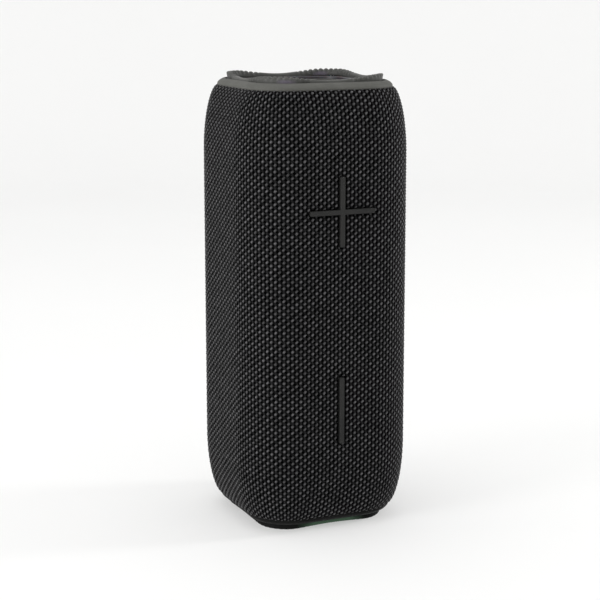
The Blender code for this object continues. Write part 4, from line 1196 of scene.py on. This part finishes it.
    def bumper(self, wardrobe: Wardrobe) -> bpy.types.Object:
        """The wavy bumper, ridged across its crests.

        With s the share of a quarter turn from a corner's middle, the lift is
        min(1, flattening (1 + cos 2 pi s) / 2). The rim stands at trough + (crest - trough) lift,
        and the underside rises in the same way. Where the lift is over ridge_start, ridges one
        pitch apart, ((1 - cos) / 2) ^ ridge_sharpness, cut the rim's shoulders down by ridge_depth
        and in by ridge_narrowing. They grow to full depth over ridge_spread of lift as
        m^2 (3 - 2 m). The outer wall leans in by lean times the lift at the rim, and by hollow
        under the ridges.

        Args:
            wardrobe: where its finish comes from.

        Returns:
            The ring.
        """
        columns = np.linspace(0, self.form.columns, self.bumper_steps, endpoint=False)
        core, direction = self.form.around(columns)
        middle = (self.bumper_outer + self.bumper_inner) / 2
        path = core + (middle - self.form.core_half) * direction
        share, quarter = self.share(columns)
        raw = 0.5 + 0.5 * np.cos(2 * math.pi * share)
        lift = np.minimum(1, raw * self.flattening)
        top = self.end is End.TOP
        trough = self.trough if top else self.foot_trough
        rim = trough + (self.crest - trough) * lift
        under = self.under_low + (self.under_high - self.under_low) * lift
        wave = 0.5 - 0.5 * np.cos(2 * math.pi * share * round(quarter / self.ridge_pitch))
        mask = np.clip((lift - self.ridge_start) / self.ridge_spread, 0, 1)
        over_crest = mask * mask * (3 - 2 * mask)
        cut = wave**self.ridge_sharpness * over_crest * (1 if top else self.foot_ridging)
        half = (self.bumper_outer - self.bumper_inner) / 2
        tall = self.trough - self.under_low
        corners = [(half, 0.0), (half, 0.8 * MM), (half, tall), (-half, tall), (-half, 0.0)]
        section = filleted(np.array(corners), np.array([0.2, 0.1, 0.9, 1.1, 0.3]) * MM, 6)
        upper = np.clip(section[:, 1] / tall, 0, 1)[:, None]
        on_rim = upper > 0.1
        anchor = np.where(on_rim, rim[None, :], under[None, :])
        height = anchor + section[:, 1:] - tall * on_rim - self.ridge_depth * cut[None, :] * upper**3
        height = np.maximum(height, under[None, :])
        narrow = 1 - self.ridge_narrowing / half * cut[None, :] * upper**2
        outer = section[:, :1] > 0
        inward = self.lean * lift[None, :] * upper + self.hollow * over_crest[None, :] * (1 - upper)
        aside = section[:, :1] * narrow - inward * outer
        flat = path[None] + aside[..., None] * direction[None]
        z = self.form.edge(self.end) + self.end.value * height
        surface = swept(np.concatenate([flat, z[..., None]], -1), True)
        # Top: the light ring's purple glow is painted onto the wall's base beside each crest. Bottom: the
        # near-black rubber is painted shade by the floor, and the ring's green glow is painted into the
        # front troughs.
        if top:
            finish = wardrobe.of("bumper_rubber")
            near = 0.5 + 0.5 * np.cos(2 * math.pi * (share - 0.1))
            glow = np.clip(near * 14 - 13, 0, 1)[None, :] * np.clip(1.2 - 2 * upper, 0, 1)
        else:
            # Near-black painted shade, with the green glow painted in by the glow attribute.
            finish = wardrobe.custom(self.foot("foot_black", 0.005))
            glow = np.broadcast_to(self.green(columns), flat.shape[:2])
        obj = surface.piece(f"ridged_bumper_{self.word}", finish)
        self.mark_glow(obj, glow)
        return declared(obj, "cabinet", f"wave_bumper_{self.word}")

    def light(self, wardrobe: Wardrobe) -> bpy.types.Object:
        """The light ring, a smoky bar with soft edges, faintly lit.

        Args:
            wardrobe: where its finish comes from.

        Returns:
            The ring.
        """
        glow = {End.TOP: (0.52, 0.36, 0.62), End.BOTTOM: (0.16, 0.6, 0.22)}[self.end]
        finish = Diffuser(f"light_{self.word}", (0.03, 0.028, 0.031), glow, 0.012)
        low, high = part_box(f"light_ring_{self.word}")
        base, (outer, inner) = self.form.edge(self.end), (self.light_outer, self.light_inner)
        foot, face = sorted([(low.z - base) * self.end.value, (high.z - base) * self.end.value])
        corners = np.array([(outer, foot), (outer, face), (inner, face), (inner, foot)])
        profile = filleted(corners, np.array([0.2, 0.55, 0.55, 0.2]) * MM)
        surface = self.form.carried(profile, self.end, self.steps())
        obj = surface.piece(f"light_bar_{self.word}", wardrobe.custom(finish))
        return declared(obj, "cabinet", f"light_ring_{self.word}")

    def squarish(self, half: np.ndarray, steps: int = 10) -> np.ndarray:
        """Rounded squares of the radiator, whose corner radius grows outwards.

        It is square_corner at roll_inner and square_growth more at bore_half.

        Args:
            half: (n,) half-widths.
            steps: pieces of each corner.

        Returns:
            (n, points, 2) outlines; they pass through the diagonals and the sides' middles.
        """
        outwards = (half - self.roll_inner) / (self.bore_half - self.roll_inner)
        radius = self.square_corner + self.square_growth * outwards
        quarter = np.arange(4)[:, None]
        turn = np.concatenate([[0], np.linspace(0, math.pi / 2, steps + 1)])
        angle = (quarter * math.pi / 2 + turn[None, :]).ravel()
        side_x = np.where((quarter == 0) | (quarter == 3), 1.0, -1.0) * np.ones_like(turn)
        side_y = np.where(quarter < 2, 1.0, -1.0) * np.ones_like(turn)
        at_middle = np.zeros_like(side_x)
        at_middle[:, 0] = 1
        keep_x = np.where((quarter % 2 == 1) & (at_middle == 1), 0.0, side_x)
        keep_y = np.where((quarter % 2 == 0) & (at_middle == 1), 0.0, side_y)
        reach = (half - radius)[:, None]
        x = reach * keep_x.ravel()[None] + radius[:, None] * np.cos(angle)[None]
        y = reach * keep_y.ravel()[None] + radius[:, None] * np.sin(angle)[None]
        return np.stack([x, y], -1)

    def surround(self, wardrobe: Wardrobe) -> list[bpy.types.Object]:
        """The radiator's half-round roll, in four mitred pieces.

        The section's roll rises as sin(pi s) over its width, s from 0 at one land to 1 at the
        other.

        Args:
            wardrobe: where its finish comes from.

        Returns:
            The four pieces.
        """
        s = np.linspace(0, 1, 15)
        width = self.roll_inner - self.roll_outer
        roll = np.stack([self.roll_outer + width * s, self.roll_rise * np.sin(math.pi * s)], -1)
        low = np.array([[self.surround_half, 0.0], *roll, [self.surround_inner, 0.0]])
        profile = np.concatenate([low + [0, self.surround_thickness], low[::-1]])
        outline = self.squarish(profile[:, 0])
        per_side = outline.shape[1] // 4
        base = self.form.edge(self.end)
        rise = base + self.end.value * (self.surround_low + profile[:, 1])
        made = []
        diagonal = per_side // 2
        for side in range(4):
            pick = (np.arange(per_side + 1) + diagonal + per_side * (side - 1)) % outline.shape[1]
            flat = outline[:, pick]
            height = np.broadcast_to(rise[:, None], flat.shape[:2])
            surface = swept(np.concatenate([flat, height[..., None]], -1), False)
            obj = surface.piece(f"surround_{self.word}_{side + 1}", wardrobe.of("radiator_rubber"))
            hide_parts(f"radiator_surround_{self.word}")
            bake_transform(obj)
            made.append(obj)
        return made

    def build(self, wardrobe: Wardrobe) -> list[bpy.types.Object]:
        """Builds the end's pieces in order, from the outside in.

        Args:
            wardrobe: where the finishes come from.

        Returns:
            The pieces.
        """
        return [self.lip(wardrobe), self.bumper(wardrobe), self.light(wardrobe), *self.surround(wardrobe)]


# The drivers


@dataclass
class DriverRolls:
    """The half-round rolls of the drivers, in sectors."""

    radius: float = 22.5 * MM
    roll_outer: float = 19.9 * MM
    roll_inner: float = 14.9 * MM
    inner: float = 13.6 * MM
    thickness: float = 0.8 * MM
    rise: float = 1.5 * MM
    sectors: int = 12
    steps: int = 5

    def section(self) -> np.ndarray:
        """The roll's outline, which rises as sin(pi s) from one land to the other.

        Returns:
            (radius, height) pairs, the height measured outwards.
        """
        s = np.linspace(0, 1, 11)
        width = self.roll_inner - self.roll_outer
        roll = np.stack([self.roll_outer + width * s, self.rise * np.sin(math.pi * s)], -1)
        low = np.array([[self.radius, 0.0], *roll, [self.inner, 0.0]])
        return np.concatenate([low + [0, self.thickness], low[::-1]])

    def sector(self, wall: Wall, number: int, wardrobe: Wardrobe) -> bpy.types.Object:
        """One sector of a driver's roll, its section turned about the driver's axis.

        Args:
            wall: the driver's wall.
            number: of the sector, from 0.
            wardrobe: where its finish comes from.

        Returns:
            The sector.
        """
        word = wall.name.lower()
        low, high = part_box(f"driver_surround_{word}")
        middle, face = level(f"driver_surround_{word}"), min(abs(low.y), abs(high.y))
        section, wedge = self.section(), 2 * math.pi / self.sectors
        angle = (number + np.linspace(0, 1, self.steps + 1)) * wedge
        x = section[:, :1] * np.cos(angle)[None]
        z = middle + section[:, :1] * np.sin(angle)[None]
        y = np.broadcast_to(wall.value * (face + section[:, 1:]), x.shape)
        surface = swept(np.stack([x, y, z], -1), False)
        obj = surface.piece(f"driver_roll_{word}_{number + 1}", wardrobe.of("radiator_rubber"))
        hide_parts(f"driver_surround_{word}")
        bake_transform(obj)
        return obj

    def build(self, wardrobe: Wardrobe) -> list[bpy.types.Object]:
        """Builds both drivers' rolls."""
        return [self.sector(wall, number, wardrobe) for wall in Wall for number in range(self.sectors)]


# The front keys


@dataclass
class FrontKeys:
    """The raised plus and minus that come through the cover."""

    half_bar: float = 1.05 * MM
    arm: float = 15 * MM
    half_length: float = 14.65 * MM
    tip: float = 0.5 * MM
    shoulder: float = 0.3 * MM
    clearance: float = 0.16 * MM
    least_radius: float = 0.05 * MM
    inner_radius: float = 0.12 * MM
    hole_corner: float = 0.6 * MM
    flange_growth: float = 1.4 * MM
    flange_thickness: float = 1.2 * MM
    nub: float = 0.9 * MM
    nub_length: float = 1.6 * MM

    def plus(self, inset: float) -> np.ndarray:
        """Outline of the plus: twelve corners, the outer eight rounded by tip.

        Args:
            inset: how far it is drawn in all round.

        Returns:
            (n, 2) points.
        """
        bar, arm = self.half_bar - inset, self.arm - inset
        corners = np.array([(bar, bar), (bar, arm), (-bar, arm), (-bar, bar)])
        turns = [np.array([[1, 0], [0, 1]]), np.array([[0, 1], [-1, 0]])]
        turns += [-turns[0], -turns[1]]
        order = np.concatenate([corners[:3] @ turn for turn in turns])
        tip = max(self.tip - inset, self.least_radius)
        inner = max(self.inner_radius + inset * 0.4, self.least_radius)
        radii = np.tile([inner, tip, tip], 4)
        return filleted(order, radii)

    def minus(self, inset: float) -> np.ndarray:
        """Outline of the minus, its four corners rounded by tip.

        Args:
            inset: how far it is drawn in all round.

        Returns:
            (n, 2) points.
        """
        bar, length = self.half_bar - inset, self.half_length - inset
        corners = np.array([(bar, -length), (bar, length), (-bar, length), (-bar, -length)])
        return filleted(corners, np.full(4, max(self.tip - inset, self.least_radius)))

    def openings(self) -> list[Opening]:
        """The holes that the keys need in the cover.

        Returns:
            One opening for each key.
        """
        bar, arm = self.half_bar + self.clearance, self.arm + self.clearance
        length = self.half_length + self.clearance
        halves = {"plus_key": ((bar, arm), (arm, bar)), "minus_key": ((bar, length),)}
        return [
            Opening(Wall.FRONT, level(key), half, self.hole_corner) for key, half in halves.items()
        ]

    def foot(self, name: str, low: float) -> list[tuple[np.ndarray, float]]:
        """Levels behind the bar of a key: the nub that meets the switch, then the flange.

        Args:
            name: plus or minus.
            low: distance of the nub's end.

        Returns:
            (outline, distance) pairs from the nub's end to the flange's front.
        """
        small = replace(self, half_bar=self.nub, arm=2 * self.nub, half_length=2 * self.nub)
        nub, flange = getattr(small, name)(0.0), getattr(self, name)(-self.flange_growth)
        back = low + self.nub_length
        return [(nub, low), (nub, back), (flange, back), (flange, back + self.flange_thickness)]

    def build(self, wardrobe: Wardrobe) -> list[bpy.types.Object]:
        """Builds both keys.

        Args:
            wardrobe: where their finish comes from.

        Returns:
            The keys.
        """
        made = []
        for name, outline in (("plus", self.plus), ("minus", self.minus)):
            low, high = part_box(f"{name}_key")
            foot = self.foot(name, -high.y)
            levels = foot + cushion_levels(outline, foot[-1][1], -low.y, self.shoulder)
            surface = stacked(levels, Wall.FRONT, level(f"{name}_key"))
            obj = surface.piece(f"{name}_sign", wardrobe.of("key_rubber"))
            made.append(declared(obj, f"{name}_key", f"{name}_key"))
        return made


# The rear


@dataclass
class RearPanel:
    """The four rear buttons with raised marks, and the flap over the sockets."""

    button_half: tuple[float, float] = (4.4 * MM, 2.6 * MM)
    button_corner: float = 2.3 * MM
    shoulder: float = 0.45 * MM
    mark_rise: float = 0.12 * MM
    strip_half: tuple[float, float] = (8.3 * MM, 17.3 * MM)
    tray_half: tuple[float, float] = (13.9 * MM, 12.8 * MM)
    hole_corner: float = 3.0 * MM
    flap_half: tuple[float, float] = (12.2 * MM, 11.1 * MM)
    flap_corner: float = 1.9 * MM
    flap_lip: float = 1.4 * MM
    flap_rim: float = 1.0 * MM
    flap_shoulder: float = 0.5 * MM
    grip_rise: float = 0.25 * MM
    rib_half: tuple[float, float] = (4.5 * MM, 0.22 * MM)
    rib_pitch: float = 0.75 * MM
    ribs: int = 5
    first_rib: float = 1.9 * MM

    def openings(self) -> list[Opening]:
        """The holes that the strip and the tray need in the cover.

        Returns:
            One opening for each.
        """
        halves = {"control_strip": self.strip_half, "port_tray": self.tray_half}
        return [
            Opening(Wall.REAR, level(node), (half,), self.hole_corner)
            for node, half in halves.items()
        ]

    def arc(self, radius: float, width: float, start: float, stop: float) -> np.ndarray:
        """Outline of a band along an arc: (cos, sin) of its angles times its two radii.

        Args:
            radius: of the band's middle.
            width: of the band.
            start: first angle, in degrees from +x.
            stop: last angle.

        Returns:
            (30, 2) points.
        """
        angle = np.radians(np.linspace(start, stop, 15))
        middle = np.stack([np.cos(angle), np.sin(angle)], -1)
        return np.concatenate([middle * (radius + width / 2), (middle * (radius - width / 2))[::-1]])

    def marks(self, name: str) -> list[np.ndarray]:
        """Outlines of a button's generic mark, seen from the rear.

        Args:
            name: the button.

        Returns:
            One outline for each raised stroke.
        """
        bar = rounded_rectangle(0.14 * MM, 0.62 * MM, 0.1 * MM, 3)
        if name == "power":
            return [self.arc(1.15 * MM, 0.28 * MM, 120, 420), bar + [0, 1.05 * MM]]
        if name == "pairing":
            dot = rounded_rectangle(0.26 * MM, 0.26 * MM, 0.25 * MM, 4)
            waves = [self.arc(radius * MM, 0.26 * MM, -50, 50) for radius in (0.95, 1.7)]
            return [outline - [1.1 * MM, 0] for outline in (dot, *waves)]
        if name == "play":
            corners = np.array([(-0.85, -1.05), (1.1, 0.0), (-0.85, 1.05)]) * MM
            return [filleted(corners, np.full(3, 0.18 * MM))]
        ray = rounded_rectangle(0.28 * MM, 0.12 * MM, 0.1 * MM, 3) + [1.35 * MM, 0]
        turns = [(math.cos(turn * math.pi / 4), math.sin(turn * math.pi / 4)) for turn in range(8)]
        rays = [ray @ np.array([[cosine, sine], [-sine, cosine]]) for cosine, sine in turns]
        return [rounded_rectangle(0.6 * MM, 0.6 * MM, 0.59 * MM, 6), *rays]

    def button(self, name: str, wardrobe: Wardrobe) -> list[bpy.types.Object]:
        """A domed button and its raised mark.

        Args:
            name: the button.
            wardrobe: where the finishes come from.

        Returns:
            The button and its mark.
        """
        low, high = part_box(f"{name}_button")
        middle, face = level(f"{name}_button"), high.y - self.mark_rise
        width, tall = self.button_half

        def cap(inset: float) -> np.ndarray:
            """The cap's outline at an inset."""
            return rounded_rectangle(width - inset, tall - inset, self.button_corner - inset * 0.9)

        surface = stacked(cushion_levels(cap, low.y, face, self.shoulder), Wall.REAR, middle)
        button = surface.piece(f"{name}_cap", wardrobe.of("key_rubber"))
        paint = Moulded("mark_grey", (0.16, 0.16, 0.155), (0.22, 0.22, 0.21), (0.5, 0.65))
        strokes = []
        for outline in self.marks(name):
            seen = outline * [-1, 1]
            strokes.append(stacked([(seen, face - 0.05 * MM), (seen, high.y)], Wall.REAR, middle))
        mark = strokes[0].joined(*strokes[1:]).piece(f"{name}_mark", wardrobe.custom(paint))
        declared(button, f"{name}_button", f"{name}_button")
        return [button, declared(mark, f"{name}_button", None)]

    def flap(self, wardrobe: Wardrobe) -> list[bpy.types.Object]:
        """The rubber flap: a soft-edged cover with an inner lip, and a grip of fine ribs.

        Args:
            wardrobe: where the finish comes from.

        Returns:
            The flap and its grip.
        """
        low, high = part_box("port_flap")
        middle, face = level("port_flap"), high.y - self.grip_rise
        wide, tall = self.flap_half

        def cover(inset: float) -> np.ndarray:
            """The cover's outline at an inset."""
            return rounded_rectangle(wide - inset, tall - inset, max(self.flap_corner - inset, 0.3 * MM))

        back = low.y + self.flap_lip
        levels = [(cover(self.flap_rim), low.y), (cover(self.flap_rim), back)]
        levels += cushion_levels(cover, back, face, self.flap_shoulder)
        flap = stacked(levels, Wall.REAR, middle).piece("rubber_flap", wardrobe.of("key_rubber"))
        ribs = []
        rib = rounded_rectangle(*self.rib_half, 0.2 * MM, 4)
        for number in range(self.ribs):
            height = middle + tall - self.first_rib - number * self.rib_pitch
            ribs.append(stacked([(rib, face - 0.1 * MM), (rib * 0.97, high.y)], Wall.REAR, height))
        grip = ribs[0].joined(*ribs[1:]).piece("flap_grip", wardrobe.of("key_rubber"))
        declared(flap, "port_flap", "port_flap")
        return [flap, declared(grip, "port_flap", None)]

    def build(self, wardrobe: Wardrobe) -> list[bpy.types.Object]:
        """Builds the buttons and the flap.

        Args:
            wardrobe: where the finishes come from.

        Returns:
            The pieces.
        """
        made = []
        for name in ("power", "pairing", "play", "light"):
            made += self.button(name, wardrobe)
        return made + self.flap(wardrobe)


@dataclass
class CarriedNodes:
    """CAD nodes whose shape stays as it is and that only need a finish."""

    slots: dict[str, str] = field(init=False)

    def __post_init__(self) -> None:
        """Reads each node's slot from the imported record."""
        self.slots = {part["node"]: part["material_slot"] for part in frame["record"]["subparts"]}

    def build(self, wardrobe: Wardrobe) -> list[bpy.types.Object]:
        """Dresses every node in the finish of its slot.

        Args:
            wardrobe: where the finishes come from.

        Returns:
            The nodes that show.
        """
        shown = []
        for name, obj in frame["nodes"].items():
            finish = wardrobe.of(self.slots[name])
            if not obj.data.materials:
                obj.data.materials.append(finish)
            for index in range(len(obj.data.materials)):
                obj.data.materials[index] = finish
            if not obj.hide_render:
                shown.append(obj)
        return shown


# The studio


@dataclass(frozen=True)
class Softbox:
    """A square area light aimed at a point."""

    name: str
    place: tuple[float, float, float]
    aim: tuple[float, float, float]
    size: float
    power: float

    def make(self) -> bpy.types.Object:
        """The light, turned so that its face looks at the point.

        Returns:
            The light as an object.
        """
        data = bpy.data.lights.new(self.name, "AREA")
        data.size, data.energy = self.size, self.power
        obj = bpy.data.objects.new(self.name, data)
        bpy.context.scene.collection.objects.link(obj)
        obj.location = self.place
        toward = np.array(self.aim) - np.array(self.place)
        yaw = math.atan2(toward[1], toward[0])
        pitch = math.atan2(-toward[2], math.hypot(toward[0], toward[1]))
        obj.rotation_euler = Euler((math.pi / 2 - pitch, 0, yaw - math.pi / 2), "XYZ")
        return obj


@dataclass
class Studio:
    """A pale dish for a floor, soft lights, a pale surround and the camera."""

    floor_radius: float = 1.15
    wall_radius: float = 1.75
    wall_height: float = 1.5
    floor_glow: float = 0.42
    camera_place: tuple[float, float, float] = (-0.2924, -0.6538, 0.2374)
    camera_turn: tuple[float, float, float] = (78.86, 0.0, -24.1)
    lens: float = 97.46
    shift_x: float = -0.00693
    sensor: float = 36.0
    surround_strength: float = 0.6

    def floor(self) -> bpy.types.Object:
        """The dish: flat to floor_radius, then a quarter ellipse up to its rim.

        Returns:
            The dish.
        """
        turn = np.linspace(0, 2 * math.pi, 96, endpoint=False)
        rise = np.linspace(0, math.pi / 2, 25)
        bend = (self.wall_radius - self.floor_radius) * np.sin(rise)
        radius = np.concatenate([[0.02, 0.3, 0.7], self.floor_radius + bend])
        height = np.concatenate([[0, 0, 0], self.wall_height * (1 - np.cos(rise))])
        x, y = radius[:, None] * np.cos(turn)[None], radius[:, None] * np.sin(turn)[None]
        z = np.broadcast_to(height[:, None], x.shape)
        points = np.stack([x, y, z], -1).reshape(-1, 3)
        quads = grid_quads(len(radius), len(turn), False, True)
        surface = Surface(points, [quads, np.arange(len(turn))[None, :]])
        finish = Nodes("pale_floor")
        pale = finish.blend(finish.noise(3, 3), (0.5, 0.5, 0.497), (0.51, 0.51, 0.507))
        finish.feed("Base Color", pale)
        finish.set(Roughness=0.7, Specular_IOR_Level=0.1)
        finish.set(Emission_Color=(1, 1, 0.995, 1), Emission_Strength=self.floor_glow)
        obj = surface.piece("pale_floor", finish.material)
        return obj

    def surround(self) -> None:
        """An even pale light from all round."""
        world = bpy.data.worlds.new("pale_surround")
        world.use_nodes = True
        back = world.node_tree.nodes["Background"]
        back.inputs["Color"].default_value = (1.0, 1.0, 1.0, 1)
        back.inputs["Strength"].default_value = self.surround_strength
        bpy.context.scene.world = world

    def lights(self) -> list[bpy.types.Object]:
        """A key low at the left, a small rim light from the upper right and one from above.

        Returns:
            The three lights.
        """
        boxes = [
            Softbox("key_light", (-1.15, -0.2, 0.34), (0, 0, 0.1), 0.4, 6.5),
            Softbox("rim_light", (1.15, -0.3, 0.62), (0, 0, 0.1), 0.2, 5.0),
            Softbox("top_light", (-0.1, 0.15, 1.3), (0, 0, 0.1), 0.9, 4.8),
        ]
        return [box.make() for box in boxes]

    def camera(self) -> bpy.types.Object:
        """The camera, above the middle and to the left of the front.

        Returns:
            The camera as an object.
        """
        data = bpy.data.cameras.new("camera")
        data.lens, data.sensor_width, data.shift_x = self.lens, self.sensor, self.shift_x
        obj = bpy.data.objects.new("camera", data)
        bpy.context.scene.collection.objects.link(obj)
        obj.location = self.camera_place
        obj.rotation_euler = Euler([math.radians(angle) for angle in self.camera_turn], "XYZ")
        bpy.context.scene.camera = obj
        return obj

    def build(self) -> None:
        """Sets up the floor, the light and the camera."""
        self.floor()
        self.surround()
        self.lights()
        self.camera()
        bpy.context.scene.view_settings.view_transform = "Standard"
        bpy.context.scene.view_settings.look = "None"


def report(name: str, made: Sequence[bpy.types.Object]) -> None:
    """Logs what a class built.

    Args:
        name: the sub-assembly.
        made: its pieces.
    """
    for obj in made:
        LOG.info("%s: %s, %d faces", name, obj.name, len(obj.data.polygons))


def main() -> None:
    """Builds the studio and every sub-assembly in order."""
    logging.basicConfig(level=logging.INFO, format="%(name)s %(message)s")
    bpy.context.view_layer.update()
    Studio().build()
    wardrobe, form = Wardrobe(), ColumnForm()
    keys, rear = FrontKeys(), RearPanel()
    cover = WovenCover(form, keys.openings() + rear.openings())
    report("cover", cover.build(wardrobe))
    for end in End:
        report(f"{end.name.lower()} end", EndTrim(form, end).build(wardrobe))
    report("drivers", DriverRolls().build(wardrobe))
    report("front keys", keys.build(wardrobe))
    report("rear", rear.build(wardrobe))
    report("carried nodes", CarriedNodes().build(wardrobe))


if __name__ == "__main__":
    main()
